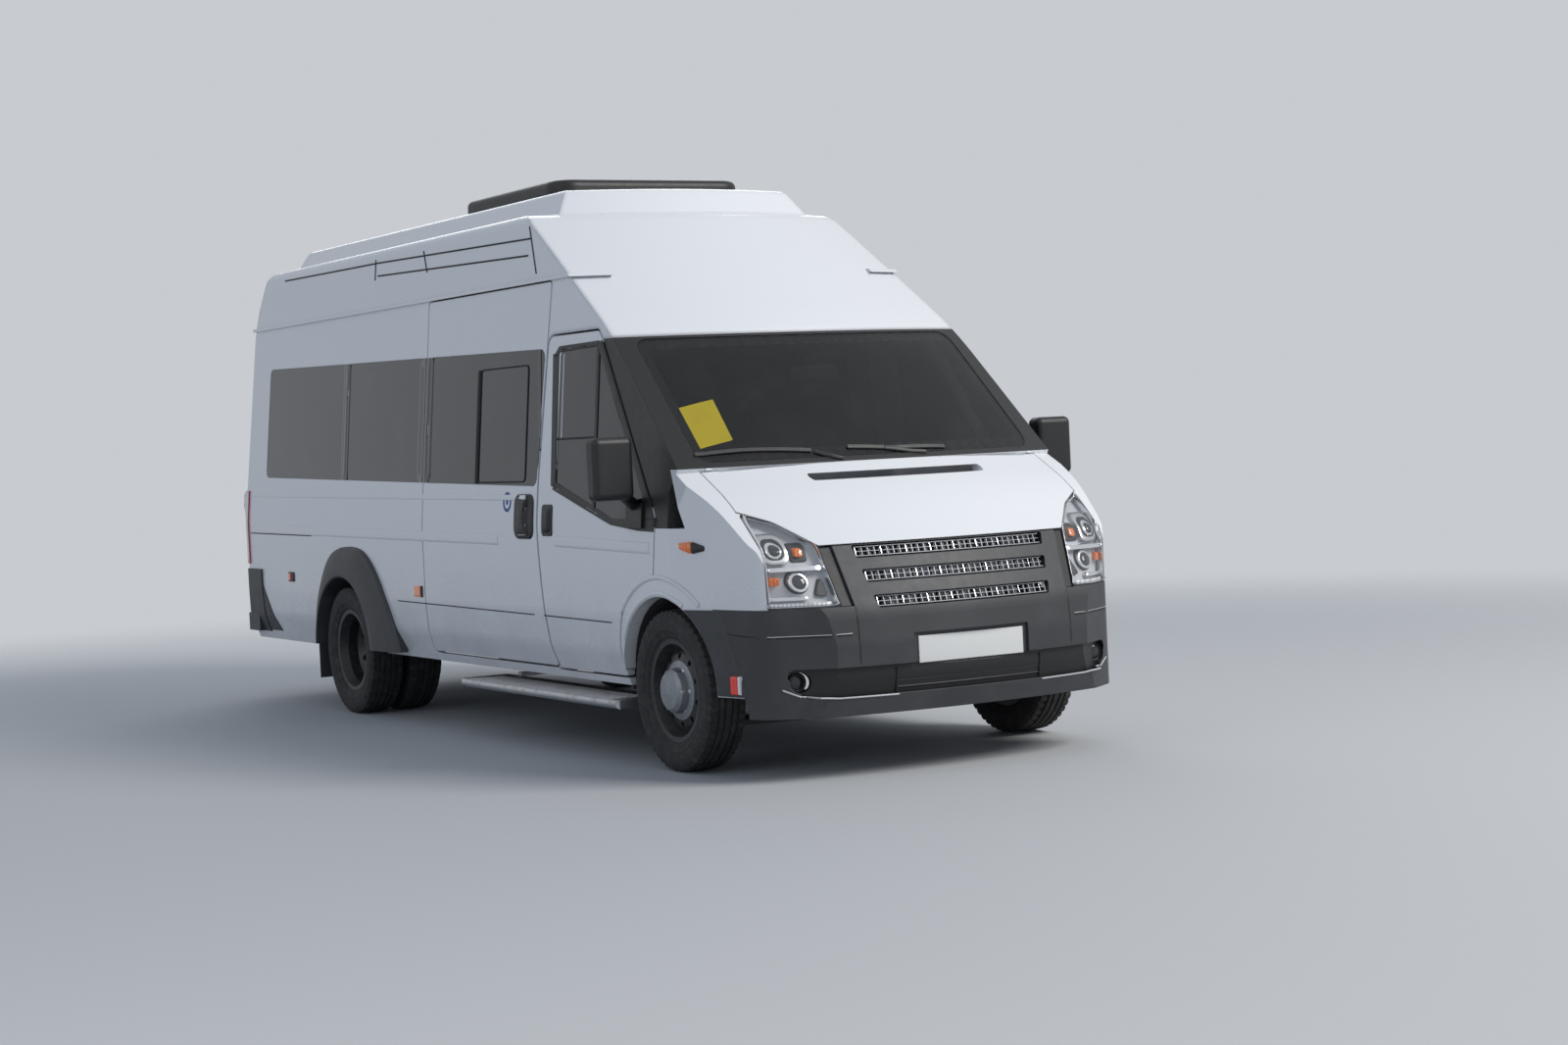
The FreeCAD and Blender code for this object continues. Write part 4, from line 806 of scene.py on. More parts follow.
@dataclass
class Tyres:
    """Road tyres: a crowned tread with grooves and blocks, and ringed sidewalls."""

    radius: float = 0.3498
    half_width: float = 0.0972
    tread_half: float = 0.083
    crown: float = 0.004
    blocks: int = 52
    steps_a_block: int = 6
    groove: float = 0.008
    groove_half: float = 0.0045
    cut_share: float = 0.8
    shoulder: tuple[float, float] = (0.33, 0.054)
    crease: float = 28.0
    grooves: tuple[float, ...] = (-0.046, -0.016, 0.016, 0.046)
    wall: Flat = (
        (0.2105, 0.0665), (0.222, 0.07), (0.232, 0.078), (0.238, 0.0835), (0.241, 0.0835), (0.262, 0.0925),
        (0.264, 0.0945), (0.268, 0.0945), (0.27, 0.0935), (0.29, 0.0972), (0.312, 0.0955), (0.318, 0.0945),
        (0.322, 0.0935), (0.335, 0.0885))

    def section(self) -> tuple[Array, Array]:
        """Returns the profile (radius, offset) from bead to bead, and where the shoulder blocks are."""
        half = np.linspace(self.tread_half, 0.0, 30)
        crown = self.radius - self.crown * (half / self.tread_half) ** 2
        edges = np.abs(half[:, None] - np.abs(self.grooves)).min(1)
        tread = np.stack([crown - self.groove * (edges < self.groove_half), half], axis=-1)
        side = np.concatenate([self.wall, tread])
        profile = np.concatenate([side, side[-2::-1] * (1, -1)])
        return profile, (np.abs(profile) > self.shoulder).all(1)

    def tyre(self, centre: Array, outwards: int) -> Shape:
        """One tyre: the section turned about the axle, its shoulders cut by a square wave of the angle.

        Args:
            centre: the tyre's centre.
            outwards: 1 to the left, -1 to the right.

        Returns:
            Points and faces.
        """
        profile, shoulder = self.section()
        segments = self.blocks * self.steps_a_block
        t = turn(segments)[:, None]
        cut = (np.arange(segments) % self.steps_a_block < 2)[:, None] & shoulder
        radius = profile[:, 0] - cut * self.groove * self.cut_share
        points = np.stack([radius * np.cos(t), outwards * profile[:, 1] + 0 * t, radius * np.sin(t)], axis=-1)
        faces = quads(segments, len(profile), True)
        return points + centre, faces if outwards < 0 else faces[:, ::-1]

    def make(self) -> None:
        """Builds every tyre in place of its CAD node."""
        for label, side in SIDES.items():
            low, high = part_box(f"rear_tyres_{label}")
            inset = self.half_width + 0.0003
            twins = [np.array([REAR_AXLE_X, y, AXLE_Z]) for y in (low[1] + inset, high[1] - inset)]
            for name, node, body, centres in (
                    ("front", f"front_tyre_{label}", f"front_wheel_{label}_body", [middle(f"front_tyre_{label}")]),
                    ("rear", f"rear_tyres_{label}", f"rear_wheels_{label}_body", twins)):
                shape = merged([self.tyre(centre, side) for centre in centres])
                tread = build(f"tread_{name}_{label}", shape, Finish.TYRE, body, self.crease)
                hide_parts(node)


class Kit:
    """The pieces of one sub-assembly that ride on one body, gathered by finish."""

    def __init__(self, name: str, body: str = "body") -> None:
        """Starts an empty kit."""
        self.name = name
        self.body = body
        self.parts: dict[Finish, list[Shape]] = {}

    def add(self, finish: Finish, *pieces: Shape) -> None:
        """Adds closed pieces in one finish."""
        self.parts.setdefault(finish, []).extend(pieces)

    def plates(self, seat: Seat, *rows: tuple) -> None:
        """Adds a plate for each row (finish, outline, height, and Seat.plate's other values if any)."""
        for finish, shape, proud, *more in rows:
            self.add(finish, seat.plate(shape, proud, **dict(*more)))

    def ribbons(self, seat: Seat, *rows: tuple) -> None:
        """Adds a ribbon for each row (finish, path, width, height)."""
        for finish, *values in rows:
            self.add(finish, seat.ribbon(*values))

    def build(self, slot: str = "", replaces: tuple[str, ...] = ()) -> None:
        """Makes one object of each finish.

        Args:
            slot: the name of a record's slot; not used.
            replaces: CAD nodes that the first of them stands for.
        """
        for finish, pieces in self.parts.items():
            made = build(f"{self.name}_{finish.value.name}", merged(pieces), finish, self.body)
            if replaces:
                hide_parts(*replaces)
                replaces = ()


@dataclass
class BodySide:
    """One side of the body: the dark window band, door fittings, markers and pressed lines."""

    label: str
    band: float = 0.003
    sill: float = 1.261
    head: float = 1.9
    slope: float = -0.0201
    opening: float = 0.4095
    posts: Flat = ((-1.56, -1.46), (-0.45, -0.361), (-0.349, -0.27))

    def seats(self) -> tuple[Seat, Seat]:
        """Returns the seats of the fixed side and of the front door."""
        side = SIDES[self.label]
        fixed = [f"side_{self.label}", "side_glass", "front_wings", "drip_rails"]
        if side == RIGHT:
            fixed += ["sliding_door", "sliding_door_glass"]
        door = [f"front_door_{self.label}", f"front_door_glass_{self.label}"]
        return Seat(Skin(*fixed), Axis.Y, side), Seat(Skin(*door), Axis.Y, side)

    def window_band(self, seat: Seat, kit: Kit) -> None:
        """Dark strips between the panes, and the sliding pane's frame."""
        for post in self.posts:
            edges = [[(x, z + self.slope * x) for z in (self.sill, self.head)] for x in post]
            kit.add(Finish.FRIT, seat.strip(*edges, self.band))
        kit.add(Finish.FRIT, seat.strip([(1.058, 1.243), (1.008, 1.878)], [(1.097, 1.243), (1.04, 1.878)], self.band))
        kit.add(Finish.SEAM, seat.strip([(0.318, 1.258), (0.318, 1.812)], [(0.346, 1.258), (0.346, 1.812)], 0.008))
        pane = rectangle(0.346, 0.905, 1.262, 1.812, 0.02, 96)
        kit.add(Finish.SEAM, seat.ribbon(np.concatenate([pane, pane[:1]]), 0.009, 0.005))

    def fittings(self, seat: Seat, kit: Kit) -> None:
        """Side markers, and on the right the sliding door's handle and the round sticker."""
        kit.plates(
            seat, (Finish.AMBER, rectangle(-0.492, -0.402, 0.678, 0.734, 0.008), 0.01),
            (Finish.TRIM, rectangle(-0.402, -0.388, 0.676, 0.736, 0.004), 0.008),
            (Finish.TRIM, rectangle(-2.43, -2.336, 0.708, 0.764, 0.008), 0.008),
            (Finish.RED, rectangle(-2.42, -2.38, 0.714, 0.758, 0.006), 0.011),
            (Finish.AMBER, rounded([(2.455, 0.968, 0.02), (2.55, 0.945, 0.02), (2.57, 0.97, 0.01),
                                    (2.55, 0.998, 0.02), (2.47, 0.992, 0.02)]), 0.012, {"crown": 0.006, "soft": 0.4}),
            (Finish.TRIM, rounded([(2.552, 0.944, 0.01), (2.64, 0.958, 0.01), (2.64, 0.978, 0.01),
                                   (2.552, 0.999, 0.01)]), 0.01, {"crown": 0.004, "soft": 0.4}))
        if SIDES[self.label] == RIGHT:
            spot = (0.709, 1.166)
            kit.add(Finish.TRIM, seat.plate(rectangle(0.8, 1.016, 0.992, 1.204, 0.045), 0.008, crown=0.002))
            kit.add(Finish.STICKER, seat.ribbon(disc(*spot, 0.04), 0.018, 0.0012, closed=True),
                    seat.plate(disc(*spot, 0.014), 0.0012))

    def corners(self, seat: Seat, kit: Kit) -> None:
        """The bumpers' dark corners where they wrap on to the side, and the white cover on the tail lamp's side."""
        kit.add(Finish.BUMPER, seat.strip(
            [(-3.17, 0.765), (-3.17, 0.405)], [(-2.965, 0.765), (-2.69, 0.405)], 0.006))
        opening = arc(FRONT_AXLE_X, AXLE_Z, self.opening, 61.0, 0.6, 16)
        ahead = np.linspace((2.72, 0.711), (2.87, 0.354), 16)
        wrapped = Seat(Skin("front_wings", "front_bumper"), Axis.Y, SIDES[self.label])
        kit.add(Finish.BUMPER, wrapped.strip(opening, ahead, 0.005, 0.02))
        lamp = Seat(Skin("tail_lamps"), Axis.Y, SIDES[self.label])
        kit.add(Finish.WHITE, lamp.plate(rectangle(-3.18, -3.108, 0.805, 1.236, 0.01, 32), 0.0015, 0.002, soft=0.05))

    def lines(self, seat: Seat, kit: Kit) -> None:
        """Pressed lines along the side: two dark and narrow, painted as the shade along a crease and under a broad
        line, and two white and broad.
        """
        # The dark ribbons paint shade along the pressed lines; the white ones are raised in the paint's colour.
        kit.ribbons(
            seat, (Finish.SEAM, straight((-0.74, 0.648), (0.98, 0.636)), 0.006, 0.0012),
            (Finish.SEAM, straight((-3.08, 0.985), (-2.02, 0.978)), 0.006, 0.0012),
            (Finish.WHITE, straight((-3.02, 1.012), (0.6, 0.985)), 0.05, 0.002),
            (Finish.WHITE, straight((-3.05, 1.215), (0.95, 1.185)), 0.03, 0.0025))

    def door(self, seat: Seat, kit: Kit) -> None:
        """The front door's dark window surround, division bars, handle and lines, one of them a dark line painted as
        the shade of the side's crease.
        """
        edge = [(2.253, 1.095), (2.226, 1.15), (1.975, 1.5), (1.699, 1.88)]
        for first, second, *heights in (
                ([(1.222, 1.222), (1.53, 1.142), (1.835, 1.064), (2.1, 1.04), (2.25, 1.036)],
                 [(1.235, 1.262), (1.54, 1.178), (1.845, 1.092), (2.1, 1.092), (2.25, 1.092)], 0.004),
                ([(2.16, 1.092), (2.13, 1.19), (1.85, 1.58), (1.64, 1.87)],
                 [(2.25, 1.092), (2.185, 1.2), (1.905, 1.59), (1.688, 1.888)], 0.004),
                ([(1.195, 1.845), (1.243, 1.884), (1.66, 1.888)],
                 [(1.215, 1.832), (1.255, 1.855), (1.66, 1.862)], 0.004),
                ([(1.2, 1.24), (1.178, 1.85)], [(1.252, 1.24), (1.243, 1.85)], 0.004),
                ([(x - 0.016, z - 0.004) for x, z in edge], [(x + 0.002, z) for x, z in edge], 0.004, 0.03),
                ([(1.64, 1.13), (1.64, 1.864)], [(1.668, 1.122), (1.668, 1.846)], 0.005)):
            kit.add(Finish.TRIM, seat.strip(first, second, *heights))
        kit.plates(
            seat, (Finish.TRIM, rectangle(1.112, 1.226, 1.008, 1.155, 0.016), 0.006),
            (Finish.TRIM, rectangle(1.128, 1.21, 1.024, 1.139, 0.02), 0.014, {"base": 0.004, "soft": 0.5}))
        # The dark ribbon along z 0.63 paints the shade of the side's crease.
        kit.ribbons(
            seat, (Finish.SEAM, straight((1.245, 1.455), (1.64, 1.455)), 0.01, 0.003),
            (Finish.LIGHT_GREY_AND_HIGHLIGHT, straight((1.292, 1.46), (1.292, 1.846)), 0.016, 0.003),
            (Finish.SEAM, straight((1.09, 0.636), (1.8, 0.63)), 0.006, 0.0012),
            (Finish.WHITE, straight((1.25, 0.985), (2.2, 0.965)), 0.05, 0.002))

    def make(self) -> None:
        """Builds the side's pieces."""
        fixed, door = self.seats()
        kit = Kit(f"side_{self.label}_fit")
        for step in (self.window_band, self.fittings, self.corners, self.lines):
            step(fixed, kit)
        kit.build()
        kit = Kit(f"door_{self.label}_fit", f"front_door_{self.label}_body")
        self.door(door, kit)
        kit.build()


@dataclass
class FrontArches:
    """The pressed lip round each front wheel opening, and the ribs of the side step."""

    rear_end: float = 1.9
    lips: tuple[tuple[float, ...], ...] = ((0.492, 50.0, 152.0, 0.01), (0.422, 62.0, 160.0, 0.006))

    def make(self) -> None:
        """Builds both lips, each from (radius, first angle, last angle, height), and the step's ribs."""
        kit = Kit("arch")
        for label, side in SIDES.items():
            seat = Seat(Skin("front_wings", f"front_door_{label}"), Axis.Y, side)
            for radius, start, end, rise in self.lips:
                path = arc(FRONT_AXLE_X, AXLE_Z, radius, start, end, 60)
                kit.add(Finish.WHITE, seat.ribbon(path[path[:, 0] > self.rear_end], 0.022, rise))
        step = Seat(Skin("side_step"), Axis.Z, 1)
        for y in np.arange(-0.975, -0.8, 0.022):
            kit.add(Finish.STEP, step.ribbon(straight((0.16, y), (1.76, y), step=0.4), 0.008, 0.003))
        kit.build()


@dataclass
class Flares:
    """Smooth flares over the twin rear wheels, and the mud flaps behind them.

    A section runs from the outer edge on the body to the lip round the wheel, and is lofted along both edges.
    """

    outside: Flat = (
        (0.745, 0.372), (0.56, 0.7), (0.33, 0.9), (0.1, 0.933), (-0.23, 0.905), (-0.45, 0.64),
        (-0.47, 0.372))
    opening: float = 0.406
    across: tuple[float, ...] = (0.0, 0.0, 0.06, 0.35, 0.75, 0.95, 1.0, 1.0)
    reach: tuple[float, ...] = (0.945, 0.985, 1.006, 1.024, 1.037, 1.038, 1.03, 0.915)

    def make(self) -> None:
        """Builds both flares and flaps in place of the CAD ones."""
        kit = Kit("flares")
        outer, inner = spline(self.outside), arc(0.0, AXLE_Z, self.opening, 3.2, 176.8, 48)
        share = np.array(self.across)[:, None]
        flat = outer[:, None] * (1 - share) + inner[:, None] * share
        for side in (RIGHT, LEFT):
            y = side * np.array(self.reach) + 0 * flat[..., 0]
            rings = np.stack([flat[..., 0] + REAR_AXLE_X, y, flat[..., 1]], axis=-1)
            flap = rounded_block((-1.98, side * 0.59, 0.17), (-1.97, side * 0.99, 0.56), 0.003, 3)
            kit.add(Finish.BUMPER, stacked(rings), flap)
        kit.build("bumper_plastic", ("arch_flares",))


@dataclass
class RoofTrim:
    """Dark lines painted as the shade of the pressed beads on the roof's sides, the lamp under each rail and the air
    unit's ribs.
    """

    thin: float = 0.009
    rise: float = 0.004
    # Paths of the dark lines painted as the pressed beads' shade.
    joints: tuple[Flat, ...] = (
        ((-2.591, 2.47), (-1.102, 2.455), (0.88, 2.412)), ((-1.091, 2.385), (0.859, 2.333)),
        ((-1.131, 2.475), (-1.133, 2.364)), ((-0.453, 2.465), (-0.397, 2.352)), ((0.866, 2.47), (0.959, 2.24)))

    def make(self) -> None:
        """Builds the roof's fittings."""
        kit = Kit("roof_fit")
        for label, side in SIDES.items():
            seat = Seat(Skin("roof", "drip_rails"), Axis.Y, side)
            # Dark ribbons paint the shade of the pressed beads.
            kit.ribbons(seat, *[(Finish.SEAM, straight(*corners), self.thin, self.rise) for corners in self.joints])
            kit.plates(
                Seat(Skin(f"side_{label}"), Axis.Y, side),
                (Finish.TRIM, rounded([(1.11, 2.165, 0.02), (1.13, 2.095, 0.02), (1.2, 2.09, 0.02),
                                       (1.29, 2.168, 0.02)]), 0.02, {"soft": 0.4}),
                (Finish.WHITE_LENS, rounded([(1.135, 2.15, 0.01), (1.145, 2.11, 0.01), (1.19, 2.106, 0.01),
                                             (1.215, 2.15, 0.01)]), 0.024, {"soft": 0.4}))
        pod = Seat(Skin("roof_pod"), Axis.Z, 1)
        for y in np.arange(-0.42, 0.43, 0.06):
            rib = rectangle(-0.45, 0.25, y - 0.012, y + 0.012, 0.008, 32)
            kit.add(Finish.SEAM, pod.plate(rib, 0.0002, 0.004, base=-0.002))
        kit.build()


@dataclass
class Nose:
    """Lattice in the slots, the bumper's bars, joints and markers, painted highlights on its lower lip and crease
    with painted shade lines along the crease, the blank plate and the hood's slot.
    """

    slots: tuple[Point, ...] = ((0.7, 0.752, 0.434), (0.805, 0.857, 0.455), (0.905, 0.955, 0.474))
    pitch: float = 0.029
    bar: float = 0.0035

    def lattice(self, form: Seat, kit: Kit) -> None:
        """Upright bars behind each slot in two finishes, with lines along its bottom, middle and top."""
        for low, high, half in self.slots:
            for k, y in enumerate(np.arange(-half + 0.014, half - 0.01, self.pitch)):
                shape = rectangle(y - self.bar / 2, y + self.bar / 2, low + 0.006, high - 0.004, 0.001, 16)
                kit.add(Finish.LIGHT_GREY_AND_HIGHLIGHT if k % 4 else Finish.CHROME, form.plate(shape, 0.006, 0.006, base=-0.02))
            for z, width, deep in (
                    (low + 0.007, 0.004, -0.014), ((low + high) / 2, 0.003, -0.018), (high - 0.006, 0.004, -0.014)):
                edge = straight((-half + 0.01, z), (half - 0.01, z), step=0.06)
                kit.add(Finish.LIGHT_GREY_AND_HIGHLIGHT, form.ribbon(edge, width, 0.004, base=deep))

    def bumper(self, form: Seat, skin: Seat, kit: Kit) -> None:
        """The bumper's creases, joints and lower bars: along each crease a satin ribbon painted as its highlight and
        dark lines painted as its shade, and a light strip on the lower lip painted as a highlight.
        """
        for side in (RIGHT, LEFT):
            def mirrored(*corners: tuple[float, float], step: float = 0.03) -> Array:
                return straight(*corners, step=step) * (side, 1)

            # Path of the light strip painted as a highlight along the lower opening's lip.
            lip = mirrored((0.36, 0.34), (0.62, 0.342), (0.76, 0.356), (0.82, 0.385))
            corner = Seat(Skin("front_bumper"), Axis.Y, side)
            # The dark upright ribbon is a joint; the satin ribbon paints the crease's highlight and the light one on
            # the lip paints a highlight.
            kit.ribbons(
                skin, (Finish.SEAM, mirrored((0.53, 0.482), (0.53, 0.708), step=0.05), 0.007, 0.0012),
                (Finish.SATIN_AND_HIGHLIGHT, mirrored((0.56, 0.604), (0.86, 0.604)), 0.004, 0.0015),
                (Finish.LIGHT_GREY_AND_HIGHLIGHT, lip, 0.007, 0.004))
            # Dark ribbons along the crease, on the corner and on the front, paint the crease's shade.
            kit.ribbons(corner, (Finish.SEAM, straight((2.705, 0.62), (2.8, 0.61), (2.92, 0.604)), 0.006, 0.0015))
            kit.ribbons(skin, (Finish.SEAM, mirrored((0.56, 0.598), (0.885, 0.598)), 0.008, 0.001))
        for z in (0.368, 0.394, 0.42):
            kit.add(Finish.TRIM, form.ribbon(straight((-0.355, z), (0.355, z), step=0.04), 0.013, 0.01, base=-0.028))
        for y in (-0.36, 0.36):
            kit.add(Finish.TRIM, form.ribbon(straight((y, 0.352), (y, 0.452), step=0.02), 0.012, 0.01, base=-0.022))

    def side_markers(self, kit: Kit) -> None:
        """The upright red marker on each bumper corner, with its white front edge."""
        for side in (RIGHT, LEFT):
            kit.plates(
                Seat(Skin("front_wings", "front_bumper"), Axis.Y, side),
                (Finish.RED, rectangle(2.776, 2.818, 0.364, 0.442, 0.006), 0.013),
                (Finish.WHITE_LENS, rectangle(2.819, 2.838, 0.364, 0.442, 0.004), 0.01))

    def vent(self) -> None:
        """The bar in the hood's air slot, which rides on the hood."""
        kit = Kit("hood_vent", "hood_body")
        path = straight((2.652, -0.42), (2.668, -0.2), (2.674, 0.03), (2.668, 0.26), (2.652, 0.48))
        kit.add(Finish.TRIM, Seat(Skin("hood"), Axis.Z, 1).ribbon(path, 0.02, 0.003))
        kit.build()

    def make(self) -> None:
        """Builds the nose's pieces."""
        kit = Kit("nose")
        form = Seat(NoseForm(), Axis.X, 1)
        self.lattice(form, kit)
        self.bumper(form, Seat(Skin("front_bumper", "grille_panel"), Axis.X, 1), kit)
        self.side_markers(kit)
        kit.add(Finish.PLATE, rounded_block((3.1745, -0.262, 0.46), (3.1785, 0.262, 0.572), 0.002))
        kit.build()


@dataclass
class Headlamps:
    """Lamps in place of the CAD blocks: a bowl behind each lens with what is in it, and the fog lamps."""

    deep: float = -0.055
    outline: Flat = (
        (0.593, 0.722), (0.598, 0.78), (0.609, 0.86), (0.62, 0.94), (0.626, 0.962), (0.671, 0.996), (0.72, 1.034),
        (0.748, 1.053), (0.79, 1.072), (0.838, 1.09), (0.849, 1.085), (0.851, 1.04), (0.85, 0.94), (0.847, 0.82),
        (0.843, 0.722))

    def make(self) -> None:
        """Builds both lamps and both fog lamps."""
        kit = Kit("lamp")
        seat = Seat(Skin("headlamp_lenses"), Axis.X, 1)
        for side in (RIGHT, LEFT):
            shape = rounded([(side * y, z) for y, z in self.outline], 96)
            kit.add(Finish.LIGHT_GREY_AND_HIGHLIGHT, seat.plate(shape, 0.003, base=self.deep, soft=0.04))
            kit.add(Finish.CHROME, seat.ribbon(shape, 0.007, 0.046, 0.0, self.deep, closed=True))
            self.inside(seat, side, kit)
            fog = (2.962, side * 0.752, 0.412)
            kit.add(Finish.TRIM, barrel(fog, [(0.0, 0.0415), (0.05, 0.0415), (0.056, 0.036), (0.05, 0.033)]))
            kit.add(Finish.DARK_LENS, barrel(fog, [(0.04, 0.033), (0.048, 0.033), (0.054, 0.022), (0.056, 0.006)]))
        kit.build("lamp_chrome", ("headlamps",))

    def inside(self, seat: Seat, side: int, kit: Kit) -> None:
        """What stands in one bowl: the cells of its lamps, and the bars between them."""
        def put(finish: Finish, shape: Array, rise: float, start: float = 0.0, **more: float) -> None:
            kit.add(finish, seat.plate(shape * (side, 1), rise, base=self.deep + start, **more))

        high, low = (0.797, 0.954), (0.724, 0.822)
        put(Finish.SATIN_AND_HIGHLIGHT, rectangle(0.735, 0.846, 0.893, 1.022, 0.03), 0.03)
        put(Finish.TRIM, rectangle(0.754, 0.836, 0.914, 1.002, 0.03), 0.004, 0.029)
        put(Finish.CHROME, disc(*high, 0.034), 0.006, 0.032, crown=0.003, soft=0.5)
        put(Finish.DARK_LENS, disc(*high, 0.024), 0.006, 0.038, crown=0.004, soft=0.6)
        put(Finish.AMBER, rectangle(0.678, 0.712, 0.922, 0.96, 0.01), 0.024, crown=0.004)
        put(Finish.TRIM, rectangle(0.655, 0.73, 0.9, 0.98, 0.014), 0.01)
        put(Finish.CHROME, rectangle(0.612, 0.846, 0.866, 0.886, 0.006), 0.04)
        put(Finish.AMBER, rectangle(0.8, 0.838, 0.81, 0.846, 0.01), 0.026, crown=0.004)
        put(Finish.TRIM, disc(*low, 0.05), 0.012)
        put(Finish.CHROME, disc(*low, 0.043), 0.026, crown=0.002)
        put(Finish.DARK_LENS, disc(*low, 0.03), 0.006, 0.026, crown=0.006, soft=0.5)
        put(Finish.TRIM, rounded([(0.612, 0.756, 0.01), (0.67, 0.762, 0.01), (0.626, 0.854, 0.01)]), 0.02)
        put(Finish.CHROME, rectangle(0.7, 0.846, 0.748, 0.764, 0.004), 0.03)
        put(Finish.WHITE_LENS, rectangle(0.606, 0.842, 0.726, 0.738, 0.004), 0.04)


class Screen:
    """Wipers, the card behind the screen, and the mirror inside it."""

    blades: tuple[Flat, ...] = (
        ((2.419, -0.86), (2.455, -0.644), (2.515, -0.34)), ((2.52, -0.16), (2.538, 0.06), (2.528, 0.34)))
    arms: tuple[Flat, ...] = (
        ((2.52, -0.33), (2.56, -0.25), (2.57, -0.215)), ((2.536, 0.02), (2.556, 0.16), (2.56, 0.22)))

    def make(self) -> None:
        """Builds what is on and behind the screen."""
        kit = Kit("screen")
        seat = Seat(Skin("windscreen", "windscreen_frame"), Axis.Z, 1)
        for corners in self.blades:
            path = straight(*corners, step=0.03)
            kit.add(Finish.TRIM, seat.ribbon(path, 0.014, 0.01), seat.ribbon(path, 0.007, 0.016))
        for corners in self.arms:
            kit.add(Finish.TRIM, seat.ribbon(straight(*corners, step=0.02), 0.016, 0.014))
        # The card glows by its finish's emission: painted light.
        kit.add(Finish.GLOWING_CARD, Seat(Skin("windscreen"), Axis.Z, -1).strip(
            [(2.187, -0.825), (2.383, -0.835)], [(2.191, -0.635), (2.385, -0.652)], 0.004, -0.002))
        kit.add(Finish.CABIN, rounded_block((1.975, -0.125, 1.665), (2.005, 0.125, 1.735), 0.012))
        kit.build()


class DoorMirrors:
    """The two panes of glass of each door mirror."""

    def make(self) -> None:
        """Builds each mirror's glass on its rear face."""
        for label, side in SIDES.items():
            kit = Kit(f"mirror_{label}_fit", f"front_door_{label}_body")
            kit.plates(
                Seat(Skin(f"mirror_{label}"), Axis.X, -1),
                (Finish.MIRROR, rectangle(1.09, 1.225, 1.265, 1.42, 0.02) * (side, 1), 0.002),
                (Finish.MIRROR, rectangle(1.09, 1.225, 1.2, 1.25, 0.012) * (side, 1), 0.002))
            kit.build()


class Cabin:
    """The dashboard's round vents, its instruments and its middle panel."""

    def make(self) -> None:
        """Builds the dashboard's fittings."""
        kit = Kit("cabin")
        seat = Seat(Skin("dashboard"), Axis.X, -1)
        for y in (0.7, 0.12, -0.12, -0.7):
            vent = disc(y, 1.08, 0.045)
            kit.add(Finish.TRIM, seat.plate(vent, 0.006))
            kit.add(Finish.SATIN_AND_HIGHLIGHT, seat.ribbon(vent, 0.006, 0.008, closed=True))
        kit.add(Finish.DARK_LENS, seat.plate(rectangle(0.25, 0.55, 1.08, 1.17, 0.03), 0.004))
        kit.add(Finish.TRIM, seat.plate(rectangle(-0.11, 0.11, 0.9, 1.0, 0.01), 0.006))
        kit.build()


@dataclass
class Seats:
    """Upholstered seats in place of the CAD blocks: a rigid base, a cushion, a leaning back and a head rest.

    Each place is (x, y, width).
    """

    front: tuple[Point, ...] = ((1.37, 0.4, 0.5), (1.37, -0.14, 0.4), (1.37, -0.59, 0.4))
    rows: tuple[float, ...] = (0.47, -0.29, -1.05, -1.81, -2.57)
    columns: tuple[float, ...] = (0.65, 0.21, -0.65)
    short_rows: tuple[float, ...] = (-1.05, -1.81)
    width: float = 0.42
    back_foot: float = 1.022
    back_height: float = 0.556
    lean: float = 0.118

    def passengers(self) -> list[Point]:
        """Returns the place and width of each seat behind the front row."""
        return [(x, y, self.width) for x in self.rows for y in self.columns
                if x not in self.short_rows or y == self.columns[1]]

    def back(self, x: float, y: float, half: float) -> Shape:
        """A leaning back: a stuffed block sheared along X by its height."""
        points, faces = pillow((x - 0.235, y - half + 0.01, self.back_foot),
                               (x - 0.125, y + half - 0.01, self.back_foot + self.back_height))
        points[..., 0] -= (points[..., 2] - self.back_foot) / self.back_height * self.lean
        return points, faces

    def make(self) -> None:
        """Builds the cushions, and the bases and stems as separate rigid pieces."""
        for name, places in (("front_seats", self.front), ("passenger_seats", self.passengers())):
            soft, hard = [], []
            for x, y, width in places:
                half = width / 2
                foot = half - 0.06
                soft += [pillow((x - 0.24, y - half, 0.902), (x + 0.24, y + half, 1.02)), self.back(x, y, half),
                         pillow((x - 0.35, y - 0.12, 1.612), (x - 0.27, y + 0.12, 1.76), 0.4, 12, 24)]
                hard.append(rounded_block((x - 0.18, y - foot, 0.6), (x + 0.16, y + foot, 0.899), 0.02, 3))
                for stem in (y - 0.05, y + 0.05):
                    hard.append(rounded_block(
                        (x - 0.314, stem - 0.006, 1.572), (x - 0.302, stem + 0.006, 1.62), 0.005, 3))
            cushions = build(f"{name}_cushions", merged(soft), Finish.CLOTH, "body")
            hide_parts(name)
            build(f"{name}_bases", merged(hard), Finish.CABIN, "body")


